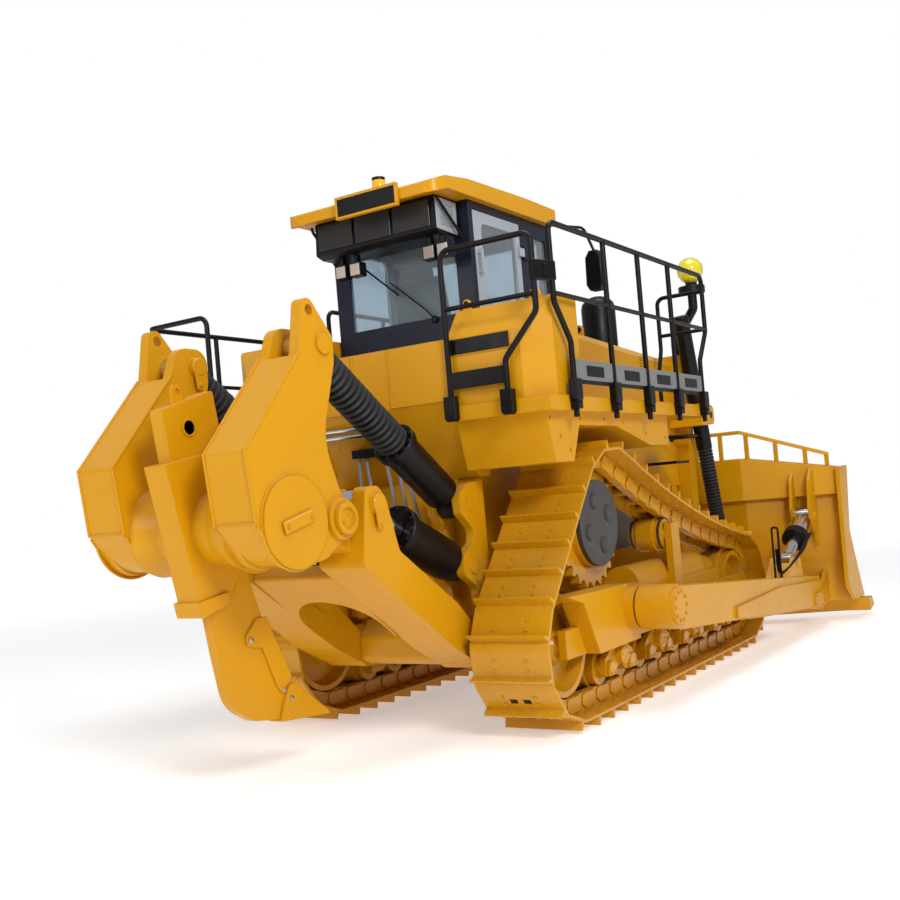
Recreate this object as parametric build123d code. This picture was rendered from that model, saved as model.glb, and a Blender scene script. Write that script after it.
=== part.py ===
from build123d import *
import math
import os

# Crawler bulldozer with raised sprockets, a single-shank ripper and a winged blade.
# Millimetres.  +X is forward, +Y is left, +Z is up, and the tracks stand on z = 0.
# Every x below is measured from a datum 131 mm behind the rear idler's axle.  save()
# then moves the machine by CENTRE_X, so that the middle of its length is at x = 0.
# Mirrored pieces are made on the right, at negative y, and copied to the left.

# ---------------------------------------------------------------- clearances
FIT = 0.3            # radial play of a rod in its gland and of a pin in its bore
EYE_PLAY = 4.0       # sideways play of an eye between its two ears
PANEL_GAP = 6.0      # gap round a door leaf
GLASS_GAP = 0.3      # gap between a pane and its frame
SEAT = 0.3           # gap left where one piece rests against another

# ---------------------------------------------------------------- tracks
TRACK_Y = 1274.0     # middle of one track, from the machine's middle
SHOE_WIDTH = 720.0
SHOE_PITCH = 280.0   # aimed at; the loop takes the nearest whole number of shoes
SHOE_PLATE = 24.0
GROUSER_HEIGHT = 72.0
GROUSER_ROOT = 40.0
GROUSER_TIP = 18.0
RAIL_HALF = 75.0     # half the height of a link rail
RAIL_WIDTH = 70.0
RAIL_Y = 130.0       # middle of one rail, from the middle of its track
RAIL_LAP = 4.0       # how far a rail runs into the plate
REAR_AXLE_X = 131.0  # rear idler axle
IDLER_BASE = 4369.0  # rear axle to front axle
FRONT_AXLE_X = REAR_AXLE_X + IDLER_BASE
IDLER_PIN_R = 509.0  # radius that the track pins follow
SPROCKET_X = 1056.0
SPROCKET_Z = 1654.0
SPROCKET_PIN_R = 581.0
SPROCKET_TEETH = 26
TOP_SAG = 125.0      # sag of the upper run below a straight line
SHOE_LIFT = RAIL_HALF + SHOE_PLATE + GROUSER_HEIGHT
AXLE_Z = IDLER_PIN_R + SHOE_LIFT
RAIL_FLOOR_Z = AXLE_Z - IDLER_PIN_R + RAIL_HALF
IDLER_TREAD_R = math.sqrt(IDLER_PIN_R ** 2 - (SHOE_PITCH / 2) ** 2) - RAIL_HALF - 2
WHEEL_HALF = RAIL_Y + RAIL_WIDTH / 2 + 10
YOKE_PLAY = 12.0         # from a wheel's face to the yoke that carries its axle
YOKE = 75.0
CARRIER_X = 2543.0
CARRIER_R = 150.0
ROLLER_COUNT = 8
ROLLER_R = 150.0
ROLLER_HUB = 40.0
ROLLER_FIRST_X = 775.0
ROLLER_LAST_X = 3850.0

# ---------------------------------------------------------------- track frame
FRAME_OUT_Y = TRACK_Y + WHEEL_HALF + YOKE_PLAY          # outer face of the roller frame's beam
FRAME_IN_Y = TRACK_Y - WHEEL_HALF - YOKE_PLAY - YOKE    # its inner face
FRAME_TOP_Z = 960.0
FRAME_FLOOR_Z = 585.0
FRAME_REAR_X = 700.0
FRAME_FRONT_X = 3960.0
GUARD_OUT_Y = 1665.0     # outer face of the rear corner box
RECOIL_R = 190.0
TRUNNION_X = 1085.0
TRUNNION_Z = 885.0
TRUNNION_R = 105.0
TRUNNION_FLANGE_R = 190.0

# ---------------------------------------------------------------- blade and push arms
ARM_IN_Y = 1775.0
ARM_OUT_Y = 2090.0
ARM_Y = (ARM_IN_Y + ARM_OUT_Y) / 2
ARM_HUB_R = 195.0
BLADE_PIN_X = 6030.0
BLADE_PIN_Z = 385.0
BLADE_PIN_R = 70.0
BLADE_HUB_R = 138.0
ARM_FRONT_X = BLADE_PIN_X - 170.0
BEND_Y = 1250.0          # where the middle of the blade meets a wing
WING_END_Y = 2360.0
WING_SWEEP = 450.0       # how far the wing's end is ahead of the bend
BLADE_TOP_Z = 2170.0
WING_TOP_DROP = 210.0
BLADE_FOOT_Z = 260.0     # lower edge of the curved plate
EDGE_BOTTOM_Z = 70.0
SKIN = 50.0              # thickness of the curved plate
BLADE_FACE_TOP_X = 6000.0
BLADE_FACE_MID_X = 5870.0
BLADE_FACE_FOOT_X = 6330.0
BLADE_BACK_X = 5700.0    # rear face of the blade's box sections
BEAM_BACK_X = 5960.0     # rear face of the box along the foot
BAND_BOTTOM_Z = 1630.0   # lower edge of the box along the top
BEAM_TOP_Z = 760.0       # upper edge of the box along the foot
END_PLATE = 50.0
BIT_OUT_Y = 2440.0
BIT_TIP_X = 7100.0
GUARD_RISE = 335.0       # height of the spill guard at the bend
GUARD_END_RISE = 175.0
GUARD_BAR = 46.0

# Tilt cylinders, from the pedestal on each arm up to the bracket on each wing
TILT_EYE_X = 4970.0
TILT_EYE_Z = 890.0
TILT_PIN_X = 5925.0
TILT_PIN_Z = 1370.0
TILT_BARREL_R = 125.0
TILT_ROD_R = 72.0

# Lift cylinders, from a yoke on each side of the nose down to the blade's back
LIFT_Y = 1010.0
LIFT_YOKE_X = 5000.0
LIFT_YOKE_Z = 2730.0
LIFT_EYE_X = 5480.0
LIFT_EYE_Z = 1000.0
LIFT_BARREL_R = 95.0
LIFT_ROD_R = 52.0
LIFT_HEAD = 1250.0       # how far the barrel reaches above its yoke
LIFT_FOOT = 400.0        # how far it reaches below
LIFT_ROD = 2010.0       # whole length of the rod
TRUNNION_PIN_R = 45.0
YOKE_OUT = 160.0         # from the cylinder to the outer face of its yoke
YOKE_BACK_X = LIFT_YOKE_X - 182     # front face of its web, behind the swinging barrel

# ---------------------------------------------------------------- ripper
RIPPER_Y = 626.0         # middle of each side's cylinders, lugs and box
BOX_HALF = 180.0         # half the width of a side box of the beam
EYE_HALF = 88.0          # half the width of a cylinder's eye
LINK_PIN_X = -64.0       # lower link on the tractor
LINK_PIN_Z = 690.0
LINK_RUN = 1766.0        # from that pin to the beam's pin, rearwards
LINK_RISE = 1220.0       # and upwards
BEAM_PIN_X = LINK_PIN_X - LINK_RUN
BEAM_PIN_Z = LINK_PIN_Z + LINK_RISE
EAR_PIN_X = -100.0       # upper cylinders on the tractor
EAR_PIN_Z = 1930.0
TOP_PIN_X = EAR_PIN_X - LINK_RUN
TOP_PIN_Z = EAR_PIN_Z + LINK_RISE
LOW_EAR_X = -110.0       # lower cylinders on the tractor
LOW_EAR_Z = 1400.0
LIFT_LUG_X = -1443.0
LIFT_LUG_Z = 1998.0
LINK_OUT_Y = 836.0
LINK_IN_Y = 416.0
LINK_ARCH = (-827.0, 1090.0)         # middle of the round cut-out between the link's arms; x, z
LINK_ARCH_AXIS = (0.590, 0.807)      # square to the cross plate
LINK_ARCH_SIDE = 16.0
CYLINDER_PIN_R = 62.0
LINK_HUB_R = 150.0
PITCH_BARREL_R = 150.0
PITCH_ROD_R = 80.0
RAISE_BARREL_R = 172.0
RAISE_ROD_R = 88.0
BEAM_TUBE_X = -2306.0
BEAM_TUBE_Z = 1918.0
BEAM_TUBE_R = 262.0
BEAM_FLARE_R = 330.0
BEAM_DISC_R = 317.0
BEAM_DISC = 26.0
LUG_EYE_X = -1980.0
LUG_EYE_Z = 3379.0
LUG_EYE_R = 38.0
POCKET_HALF = 104.0      # half the width of the pocket at its foot
POCKET_UPPER_HALF = 62.0
POCKET_REAR_X = -2750.0  # rearmost point of the machine
COLLAR_RIM = 20.0
EYE_PLATE = 14.0         # half the thickness of the lifting eye on the pocket
SHANK_PIN_X = -2470.0
SHANK_PIN_Z = 2630.0
SHANK_PIN_R = 45.0
SHANK_HALF = 43.0
SHANK_GAP = 3.0
TIP_CHEEK = 22.0         # thickness of the tip beside the shank
TIP_POINT_X = -1240.0

# ---------------------------------------------------------------- tractor body
FRAME_HALF = 560.0       # half the width of the main frame
CASE_TOP_Z = 2150.0
NOSE_HALF = 900.0
NOSE_LOW_HALF = 740.0
NOSE_SHOULDER_Z = 1500.0
NOSE_TOP_Z = 3500.0
NOSE_X = 5060.0          # front face of the radiator guard
HOOD_HALF = 740.0
HOOD_REAR_X = 1960.0
HOOD_REAR_Z = 3640.0
HOOD_FRONT_X = NOSE_X - 180    # the radiator guard is as deep as this
HOOD_FRONT_Z = 3470.0
HOOD_FOOT_Z = 1900.0
HOOD_SKIN = 14.0
NOSE_FOOT_Z = 1250.0
GRILLE_HALF = 620.0
GRILLE_FOOT_Z = 1500.0
GRILLE_TOP_Z = 3250.0
DECK_Z = 2740.0          # top of the walkway
DECK_DEEP = 125.0
FENDER_IN_Y = 790.0      # inner edge of the walkway and its tank
SKIRT_OUT_Y = 1640.0
SIDE_TANK_FRONT_X = 400.0
DECK_OUT_Y = 1734.0
DECK_REAR_X = -260.0
DECK_FRONT_X = 3300.0
SKIRT_Z = 2205.0
TANK_TOP_Z = 3370.0
TANK_FOOT_Z = 2790.0    # lower edge of the fuel tank at the rear
SIDE_TANK_TOP_Z = 3560.0
CAB_HALF = 766.0
CAB_REAR_X = 334.0
CAB_FRONT_X = 1840.0
CAB_FLOOR_Z = 2760.0
ROOF_TOP_Z = 4770.0
ROOF_THICK = 170.0
CAB_TOP_Z = ROOF_TOP_Z - ROOF_THICK
CAB_WALL = 50.0
PEDESTAL_HALF = 560.0
PANE = 8.0
DOOR_REAR_X = 406.0
DOOR_FRONT_X = 1234.0
DOOR_FOOT_Z = 2830.0
DOOR_TOP_Z = CAB_TOP_Z - 80
DOOR_WINDOW_FOOT_Z = 3400.0
DOOR_WINDOW_TOP_Z = DOOR_TOP_Z - 100
HANDLE_Z = DOOR_TOP_Z - 570
HINGE_X = 1256.0
HINGE_PIN_R = 6.0
HINGE_OUT = 22.0         # hinge axis outside the cab's side
HINGE_ZS = (DOOR_FOOT_Z + 220, DOOR_TOP_Z - 270)
SIDE_WINDOW_X0 = 1400.0
SIDE_WINDOW_X1 = 1760.0
WINDOW_FOOT_Z = 3400.0
WINDOW_TOP_Z = CAB_TOP_Z - 160
REAR_WINDOW_FOOT_Z = 3620.0
REAR_WINDOW_HALF = 600.0
FRONT_WINDOW_HALF = 640.0
AC_REAR_X = -53.0
AC_FOOT_Z = CAB_TOP_Z - 330
AC_HALF = 660.0
ROOF_REAR_X = -264.0
ROOF_FRONT_X = 2010.0
ROOF_HALF = 836.0
ROOF_PLAN_R = 150.0
SIGN_THICK = 36.0
BEACON_X = 100.0
LAMP_HALF = 62.0
LAMP_YS = (-645.0, -500.0, 315.0, 480.0)
PLATFORM_REAR_X = -520.0             # access platform on the left
PLATFORM_FRONT_X = 1200.0
PLATFORM_IN_Y = 1560.0
PLATFORM_OUT_Y = 2372.0
PLATFORM_RAIL_Z = 3850.0
PLATFORM_MID_Z = 3330.0
CROSS_RAIL_Y = -1250.0               # inner post of the rail across the walkway's front end
RAIL_TUBE_R = 24.0
RAIL_OUT = 6.0           # from the walkway's edge to the rail
RAIL_POSTS = (120.0, 900.0, 1650.0, 2400.0, 3110.0)
POST_KINK = 240.0        # how far the end posts lean out
REAR_RAIL_Y0 = -1373.0
REAR_RAIL_Y1 = -830.0
REAR_RAIL_TOP_Z = 4025.0
REAR_RAIL_LEAN = 317.0               # how far the outer post leans out
SOCKET_HIGH = 200.0
TOE_HIGH = 140.0
PLATFORM_DEEP = 80.0
PLATFORM_RIB = 120.0
STACK_X = NOSE_X - 140
STACK_Y = 1090.0
STACK_CAP_Z = 4260.0
STEP_X0 = HOOD_FRONT_X - 1020
GRAB_X0 = HOOD_FRONT_X - 580
GRAB_X1 = GRAB_X0 + 400
RAIL_TOP_Z = 4119.0
RAIL_MID_Z = 3548.0

CENTRE_X = (BIT_TIP_X + POCKET_REAR_X) / 2


# ================================================================ shape helpers
def box(x0, x1, y0, y1, z0, z1):
    """Plain block between two corners."""
    return Pos((x0 + x1) / 2, (y0 + y1) / 2, (z0 + z1) / 2) * Box(x1 - x0, y1 - y0, z1 - z0)


def rounded_wire(corners, lift):
    """Closed wire through (u, v, corner radius); lift turns (u, v) into a point in space."""
    points = [Vector(*lift(u, v)) for u, v, _ in corners]
    count = len(points)
    ends = []
    for i, (_, _, radius) in enumerate(corners):
        here = points[i]
        if radius == 0:
            ends.append((here, None, here))
            continue
        back = (points[i - 1] - here).normalized()
        ahead = (points[(i + 1) % count] - here).normalized()
        half = math.radians(back.get_angle(ahead)) / 2
        reach = radius / math.tan(half)
        crown = here + (back + ahead).normalized() * (radius / math.sin(half) - radius)
        ends.append((here + back * reach, crown, here + ahead * reach))
    edges = []
    for i in range(count):
        start, crown, end = ends[i]
        following = ends[(i + 1) % count][0]
        if crown is not None:
            edges.append(ThreePointArc(start, crown, end))
        if (following - end).length > 1e-6:
            edges.append(Line(end, following))
    return Wire(edges)


LIFTS = {"X": lambda u, v: (0, u, v), "Y": lambda u, v: (u, 0, v), "Z": lambda u, v: (u, v, 0)}
WAYS = {"X": Vector(1, 0, 0), "Y": Vector(0, 1, 0), "Z": Vector(0, 0, 1)}


def prism(corners, along, start, end):
    """Flat outline pushed along one axis; corners are (u, v) or (u, v, corner radius)."""
    table = [(c[0], c[1], c[2] if len(c) > 2 else 0) for c in corners]
    face = Face(rounded_wire(table, LIFTS[along]))
    return Solid.extrude(face, WAYS[along] * (end - start)).moved(Location(WAYS[along] * start))


def rod(start, end, radius):
    """Round bar between two points."""
    a, b = Vector(*start), Vector(*end)
    return Solid.make_cylinder(radius, (b - a).length, Plane(origin=a, z_dir=b - a))


def pin(x, z, radius, y0, y1):
    """Round bar across the machine."""
    return rod((x, y0, z), (x, y1, z), radius)


def cone(start, end, r0, r1):
    a, b = Vector(*start), Vector(*end)
    return Solid.make_cone(r0, r1, (b - a).length, Plane(origin=a, z_dir=b - a))


def flipped(shape):
    """The same piece on the other side of the machine."""
    return mirror(shape, about=Plane.XZ)


def between(start, end, share):
    return tuple(a + (b - a) * share for a, b in zip(start, end))


def along(start, end, distance):
    length = math.dist(start, end)
    return between(start, end, distance / length)


def tube_path(points, radius, bend):
    """Bent round bar whose middle line runs through the points with rounded corners."""
    path = FilletPolyline(*points, radius=bend)
    first, second = Vector(*points[0]), Vector(*points[1])
    section = Plane(origin=first, z_dir=second - first) * Circle(radius)
    return sweep(section, path=path)


def save(node, *shapes):
    solids = [solid for shape in shapes for solid in shape.solids()]
    moved = [solid.moved(Location((-CENTRE_X, 0, 0))) for solid in solids]
    export_step(Compound(moved), f"parts/{node}.step")


def save_pair(node, *shapes):
    """Write the right-hand piece and its mirrored twin as two nodes."""
    save(node + "_right", *shapes)
    save(node + "_left", *[flipped(shape) for shape in shapes])


# ================================================================ tracks
def track_line():
    """Middle line of the track pins as closely spaced points, counter-clockwise seen from the right."""
    circles = [  # centre x, centre z, pin radius, sag of the run that leaves it
        (REAR_AXLE_X, AXLE_Z, IDLER_PIN_R, 0.0),
        (FRONT_AXLE_X, AXLE_Z, IDLER_PIN_R, TOP_SAG),
        (SPROCKET_X, SPROCKET_Z, SPROCKET_PIN_R, 0.0)]
    count = len(circles)
    headings = []
    for i in range(count):
        x0, z0, r0, _ = circles[i]
        x1, z1, r1, _ = circles[(i + 1) % count]
        headings.append(math.atan2(z1 - z0, x1 - x0) - math.asin((r1 - r0) / math.hypot(x1 - x0, z1 - z0)))
    line = []
    for i in range(count):
        x0, z0, r0, sag = circles[i]
        x1, z1, r1, _ = circles[(i + 1) % count]
        turn_from = headings[i - 1]
        turn = (headings[i] - turn_from) % (2 * math.pi)
        steps = 60
        for k in range(steps):
            heading = turn_from + turn * k / steps
            line.append((x0 + r0 * math.sin(heading), z0 - r0 * math.cos(heading)))
        heading = headings[i]
        start = (x0 + r0 * math.sin(heading), z0 - r0 * math.cos(heading))
        end = (x1 + r1 * math.sin(heading), z1 - r1 * math.cos(heading))
        steps = 120
        for k in range(steps):
            share = k / steps
            dip = 4 * sag * share * (1 - share)
            line.append((start[0] + (end[0] - start[0]) * share - dip * math.sin(heading),
                         start[1] + (end[1] - start[1]) * share + dip * math.cos(heading)))
    return line


def track_pins():
    """Pin centres at equal steps round the loop."""
    line = track_line()
    closed = line + line[:1]
    reach = [0.0]
    for a, b in zip(closed, closed[1:]):
        reach.append(reach[-1] + math.dist(a, b))
    count = round(reach[-1] / SHOE_PITCH)
    pins = []
    k = 0
    for i in range(count):
        want = reach[-1] * i / count
        while reach[k + 1] < want:
            k += 1
        share = (want - reach[k]) / (reach[k + 1] - reach[k])
        pins.append(between(closed[k], closed[k + 1], share))
    return pins


def track():
    """Belt of shoes with their grousers, and two link rails inside it, as one closed loop."""
    pins = track_pins()
    count = len(pins)
    outer_height = RAIL_HALF + SHOE_PLATE
    tip_height = outer_height + GROUSER_HEIGHT
    outside = []
    links = []
    for i in range(count):
        a, b = pins[i], pins[(i + 1) % count]
        pitch = math.dist(a, b)
        ux, uz = (b[0] - a[0]) / pitch, (b[1] - a[1]) / pitch
        links.append((a, ux, uz, pitch))
        root = pitch - GROUSER_ROOT - SHOE_PLATE
        tip = root + (GROUSER_ROOT - GROUSER_TIP) / 2
        profile = [  # distance along the shoe, height over the pins
            (SHOE_PLATE / 4, outer_height), (root, outer_height), (tip, tip_height),
            (tip + GROUSER_TIP, tip_height), (root + GROUSER_ROOT, outer_height), (pitch, outer_height)]
        outside += [(a[0] + s * ux + h * uz, a[1] + s * uz - h * ux) for s, h in profile]

    def ring(height):
        """Loop at one height over the pins, one corner at each pin."""
        corners = []
        for i in range(count):
            (_, px, pz, _), (a, ux, uz, _) = links[i - 1], links[i]
            nx, nz = uz + pz, -(ux + px)
            size = math.hypot(nx, nz)
            corners.append((a[0] + height * nx / size, a[1] + height * nz / size))
        return corners

    half = SHOE_WIDTH / 2
    belt = prism(outside, "Y", -TRACK_Y - half, -TRACK_Y + half)
    belt = belt - prism(ring(RAIL_HALF), "Y", -TRACK_Y - half - 1, -TRACK_Y + half + 1)
    for side in (-1, 1):
        y = -TRACK_Y + side * RAIL_Y
        rail = prism(ring(RAIL_HALF + RAIL_LAP), "Y", y - RAIL_WIDTH / 2, y + RAIL_WIDTH / 2)
        rail = rail - prism(ring(-RAIL_HALF), "Y", y - RAIL_WIDTH / 2 - 1, y + RAIL_WIDTH / 2 + 1)
        belt = belt + rail
    return belt


def wheel(x, z, profile):
    """Turned piece on an axle across the machine; profile is (offset outwards from the track's
    middle, radius)."""
    points = [(radius, offset) for offset, radius in profile]
    face = Face(Wire.make_polygon([Vector(r, 0, o) for r, o in points], close=True))
    solid = revolve(face, Axis.Z, 360)
    return Pos(x, -TRACK_Y, z) * Rot(90, 0, 0) * solid


def idler(x):
    """Dished wheel with a middle flange that guides the rails."""
    inner = RAIL_Y - RAIL_WIDTH / 2 - 8
    outer = WHEEL_HALF
    boss = WHEEL_HALF + YOKE_PLAY - SEAT
    tread = IDLER_TREAD_R
    hub = 100.0
    return wheel(x, AXLE_Z, [
        (-boss, 0), (-boss, hub), (-outer + 40, hub), (-60, hub + 60), (-60, tread - 90), (-outer, tread
                                                                                           - 50),
        (-outer, tread), (-inner, tread), (-inner, tread + 50), (inner, tread + 50), (inner, tread),
        (outer, tread), (outer, tread - 50), (60, tread - 90), (60, hub + 60), (outer - 40, hub), (boss, hub),
        (boss, 0)])


def roller(x, z, radius, hub):
    """Two-tread roller; hub is how far its ends stand out past the treads."""
    inner = RAIL_Y - RAIL_WIDTH / 2 - 6
    outer = RAIL_Y + RAIL_WIDTH / 2 + 6
    return wheel(x, z, [
        (-outer - hub, 0), (-outer - hub, radius * 0.6), (-outer, radius * 0.6), (-outer, radius), (-inner,
                                                                                                    radius),
        (-inner, radius + 24), (inner, radius + 24), (inner, radius), (outer, radius), (outer, radius * 0.6),
        (outer + hub, radius * 0.6), (outer + hub, 0)])


def sprocket():
    """Toothed ring with a bolting web; its gullets are where the track's bushings lie."""
    root = SPROCKET_PIN_R - 48
    tip = SPROCKET_PIN_R + 6
    outline = []
    for tooth in range(SPROCKET_TEETH):
        for share, radius in ((0.12, root), (0.42, tip), (0.58, tip), (0.88, root)):
            angle = 2 * math.pi * (tooth + share) / SPROCKET_TEETH
            outline.append((SPROCKET_X + radius * math.cos(angle), SPROCKET_Z + radius * math.sin(angle)))
    ring = prism(outline, "Y", -TRACK_Y - 50, -TRACK_Y + 50)
    opening = pin(SPROCKET_X, SPROCKET_Z, root - 130, -TRACK_Y - 51, -TRACK_Y + 51)
    return ring - opening


def final_drive():
    """Planet housing that carries the sprocket on its rim."""
    bore = SPROCKET_PIN_R - 48 - 130
    y = -TRACK_Y
    housing = pin(SPROCKET_X, SPROCKET_Z, bore - 0.5, y - 110, y + 130)
    rim = pin(SPROCKET_X, SPROCKET_Z, bore + 45, y + 50.3, y + 110)
    neck = cone((SPROCKET_X, y + 130, SPROCKET_Z), (SPROCKET_X, y + 420, SPROCKET_Z), 330, 270)
    axle_case = pin(SPROCKET_X, SPROCKET_Z, 270, y + 420, -FRAME_HALF)
    return housing + rim + neck + axle_case


def drive_cover():
    """Dark end cover with four raised round bosses."""
    y = -TRACK_Y - 110
    cover = pin(SPROCKET_X, SPROCKET_Z, 390, y - 46, y)
    for k in range(4):
        angle = math.radians(90 * k + 20)
        x, z = SPROCKET_X + 215 * math.cos(angle), SPROCKET_Z + 215 * math.sin(angle)
        cover += pin(x, z, 58, y - 58, y - 46)
    return cover


# ================================================================ track frame
def track_frame():
    """Roller frame of one side: beam, yokes, recoil housing, rear corner box and trunnion."""
    beam = box(FRAME_REAR_X, FRAME_FRONT_X, -FRAME_OUT_Y, -FRAME_IN_Y, FRAME_FLOOR_Z, FRAME_TOP_Z)
    ledge = box(FRAME_REAR_X, FRAME_FRONT_X, -FRAME_OUT_Y - 100, -FRAME_OUT_Y, FRAME_FLOOR_Z, FRAME_FLOOR_Z
                + 60)
    corner_box = prism([(-130, 1120), (1030, 1100), (1235, FRAME_FLOOR_Z), (380, FRAME_FLOOR_Z), (145, 1040)],
                       "Y", -GUARD_OUT_Y, -FRAME_OUT_Y)
    middle = prism([(FRAME_REAR_X, 1030), (1100, 1030), (1235, FRAME_FLOOR_Z), (FRAME_REAR_X, FRAME_FLOOR_Z)],
                   "Y", -FRAME_OUT_Y, -FRAME_IN_Y)
    z = FRAME_TOP_Z + 40
    recoil = rod((1750, -TRACK_Y, z), (3500, -TRACK_Y, z), RECOIL_R)
    nose = cone((3500, -TRACK_Y, z), (FRAME_FRONT_X, -TRACK_Y, z - 40), RECOIL_R, RECOIL_R - 60)
    frame = beam + ledge + corner_box + middle + recoil + nose
    for inner_face in (FRAME_OUT_Y, FRAME_IN_Y + YOKE):
        outer_face = inner_face + (YOKE if inner_face == FRAME_OUT_Y else -YOKE)
        y0, y1 = min(-inner_face, -outer_face), max(-inner_face, -outer_face)
        frame += box(FRAME_FRONT_X - 200, FRONT_AXLE_X + 120, y0, y1, AXLE_Z - 90, AXLE_Z + 150)
        frame += box(REAR_AXLE_X - 110, FRAME_REAR_X + 100, y0, y1, AXLE_Z - 90, AXLE_Z + 150)
    frame += pin(TRUNNION_X, TRUNNION_Z, TRUNNION_R, -ARM_OUT_Y + 40, -FRAME_OUT_Y)
    frame += pin(TRUNNION_X, TRUNNION_Z, TRUNNION_FLANGE_R, -GUARD_OUT_Y - 90, -GUARD_OUT_Y)
    frame += box(1000, 1500, -GUARD_OUT_Y, -FRAME_OUT_Y, 620, 1060)
    mast_y = -FRAME_OUT_Y - YOKE
    frame += box(CARRIER_X - 60, CARRIER_X + 150, mast_y, -FRAME_OUT_Y, FRAME_FLOOR_Z, carrier_z() + 110)
    return frame


def carrier_roller():
    """Grooved roller that holds up the upper run, on an axle from its mast."""
    body = roller(CARRIER_X, carrier_z(), CARRIER_R, 1.0)
    shaft = pin(CARRIER_X, carrier_z(), 70, -FRAME_OUT_Y + SEAT, -TRACK_Y)
    return body + shaft


def carrier_z():
    """Height of the carrier roller under the sagging upper run."""
    near = [p for p in track_line() if abs(p[0] - CARRIER_X) < 40 and p[1] > SPROCKET_Z - 600]
    return min(p[1] for p in near) - RAIL_HALF - CARRIER_R - 12


def roller_xs():
    step = (ROLLER_LAST_X - ROLLER_FIRST_X) / (ROLLER_COUNT - 1)
    return [ROLLER_FIRST_X + step * k for k in range(ROLLER_COUNT)]


def rollers():
    z = RAIL_FLOOR_Z + ROLLER_R + SEAT
    return [roller(x, z, ROLLER_R, ROLLER_HUB) for x in roller_xs()]


def bogies():
    """Rocking carriers, one to each pair of rollers, with a round cap on the outside."""
    z = RAIL_FLOOR_Z + ROLLER_R + SEAT
    top = FRAME_FLOOR_Z - SEAT
    xs = roller_xs()
    pieces = []
    hub = RAIL_Y + RAIL_WIDTH / 2 + 6 + ROLLER_HUB
    for a, b in zip(xs[::2], xs[1::2]):
        middle = (a + b) / 2
        for y0, y1 in ((-TRACK_Y - hub - 60, -TRACK_Y - hub - 0.5), (-TRACK_Y + hub + 0.5, -TRACK_Y + hub
                                                                     + 60)):
            plate = prism([(a - 95, z - 70, 30), (a + 95, z - 70, 30), (middle, z + 20, 60),
                           (b - 95, z - 70, 30),
                           (b + 95, z - 70, 30), (b + 70, z + 90, 40), (middle + 110, top, 0),
                           (middle - 110, top, 0), (a - 70, z + 90, 40)], "Y", y0, y1)
            pieces.append(plate)
        pieces[-2] += pin(middle, z + 85, 88, -TRACK_Y - hub - 110, -TRACK_Y - hub - 30)
    return pieces


# ================================================================ push arms and blade
def push_arm():
    """Box beam from the trunnion to the blade, with a stiffening pad and the tilt cylinder's pedestal."""
    front = ARM_FRONT_X
    body = prism([(TRUNNION_X - 60, 1070, 40), (1300, 1040), (front - 60, 640, 60), (front, 560, 40),
                  (front, 215, 40), (5350, 290), (3470, 450), (2580, 545), (1200, 665, 60),
                  (TRUNNION_X - 60, 700, 40)], "Y", -ARM_OUT_Y, -ARM_IN_Y)
    body += pin(TRUNNION_X, TRUNNION_Z, ARM_HUB_R, -ARM_OUT_Y, -ARM_IN_Y)
    body += pin(BLADE_PIN_X, BLADE_PIN_Z, BLADE_HUB_R, -ARM_Y - EYE_HALF, -ARM_Y + EYE_HALF)
    body += box(front - 60, BLADE_PIN_X, -ARM_Y - EYE_HALF, -ARM_Y + EYE_HALF, BLADE_PIN_Z - 120,
                BLADE_PIN_Z + 120)
    body += prism([(2600, 665), (4110, 690), (front - 60, 580), (front - 60, 240), (5350, 305), (3470, 465),
                   (2600, 560)], "Y", -ARM_OUT_Y - 24, -ARM_OUT_Y)
    body += box(front - 450, front - 60, -ARM_OUT_Y - 48, -ARM_OUT_Y, 300, 460)
    foot = prism([(TILT_EYE_X - 420, 700), (TILT_EYE_X - 130, TILT_EYE_Z + 60, 50),
                  (TILT_EYE_X + 130, TILT_EYE_Z + 60, 50), (TILT_EYE_X + 190, 660)],
                 "Y", -ARM_Y - EYE_HALF - 54, -ARM_Y + EYE_HALF + 54)
    foot -= box(TILT_EYE_X - 190, TILT_EYE_X + 260, -ARM_Y - EYE_HALF - EYE_PLAY, -ARM_Y + EYE_HALF
                + EYE_PLAY,
                TILT_EYE_Z - 150, TILT_EYE_Z + 200)
    for s in (-1, 1):
        y = -ARM_Y + s * (EYE_HALF + 54)
        foot += pin(TILT_EYE_X, TILT_EYE_Z, 60, min(y, y + s * 20), max(y, y + s * 20))
    body += foot
    body -= pin(TRUNNION_X, TRUNNION_Z, TRUNNION_R + FIT, -ARM_OUT_Y - 60, -ARM_IN_Y + 1)
    body -= pin(BLADE_PIN_X, BLADE_PIN_Z, BLADE_PIN_R + FIT, -ARM_OUT_Y, -ARM_IN_Y)
    return body + pin(TRUNNION_X, TRUNNION_Z, TRUNNION_R + 55, -ARM_OUT_Y - 40, -ARM_OUT_Y)


def face_profile(shift, drop):
    """Front curve of the blade: top, middle and foot, as (x, z)."""
    return [(BLADE_FACE_TOP_X + shift, BLADE_TOP_Z - drop), (BLADE_FACE_MID_X + shift, 1150.0),
            (BLADE_FACE_FOOT_X + shift, BLADE_FOOT_Z)]


def blade_section(y, shift, drop, back):
    """Cross-section of the curved plate, as a face in the plane at y."""
    top, middle, foot = [Vector(x, y, z) for x, z in face_profile(shift, drop)]
    skin = Vector(-back, 0, 0)
    edges = [ThreePointArc(top, middle, foot), Line(foot, foot + skin),
             ThreePointArc(foot + skin, middle + skin, top + skin), Line(top + skin, top)]
    return Face(Wire(edges))


def box_section(y, shift, drop, x_back, x_front, z0, z1):
    """Rear box of the blade between two heights, from its back face to inside the plate."""
    x1 = x_front + shift
    return Face(Wire.make_polygon([Vector(x_back + shift, y, z0), Vector(x1, y, z0), Vector(x1, y, z1 - drop),
                                   Vector(x_back + shift, y, z1 - drop)], close=True))


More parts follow.
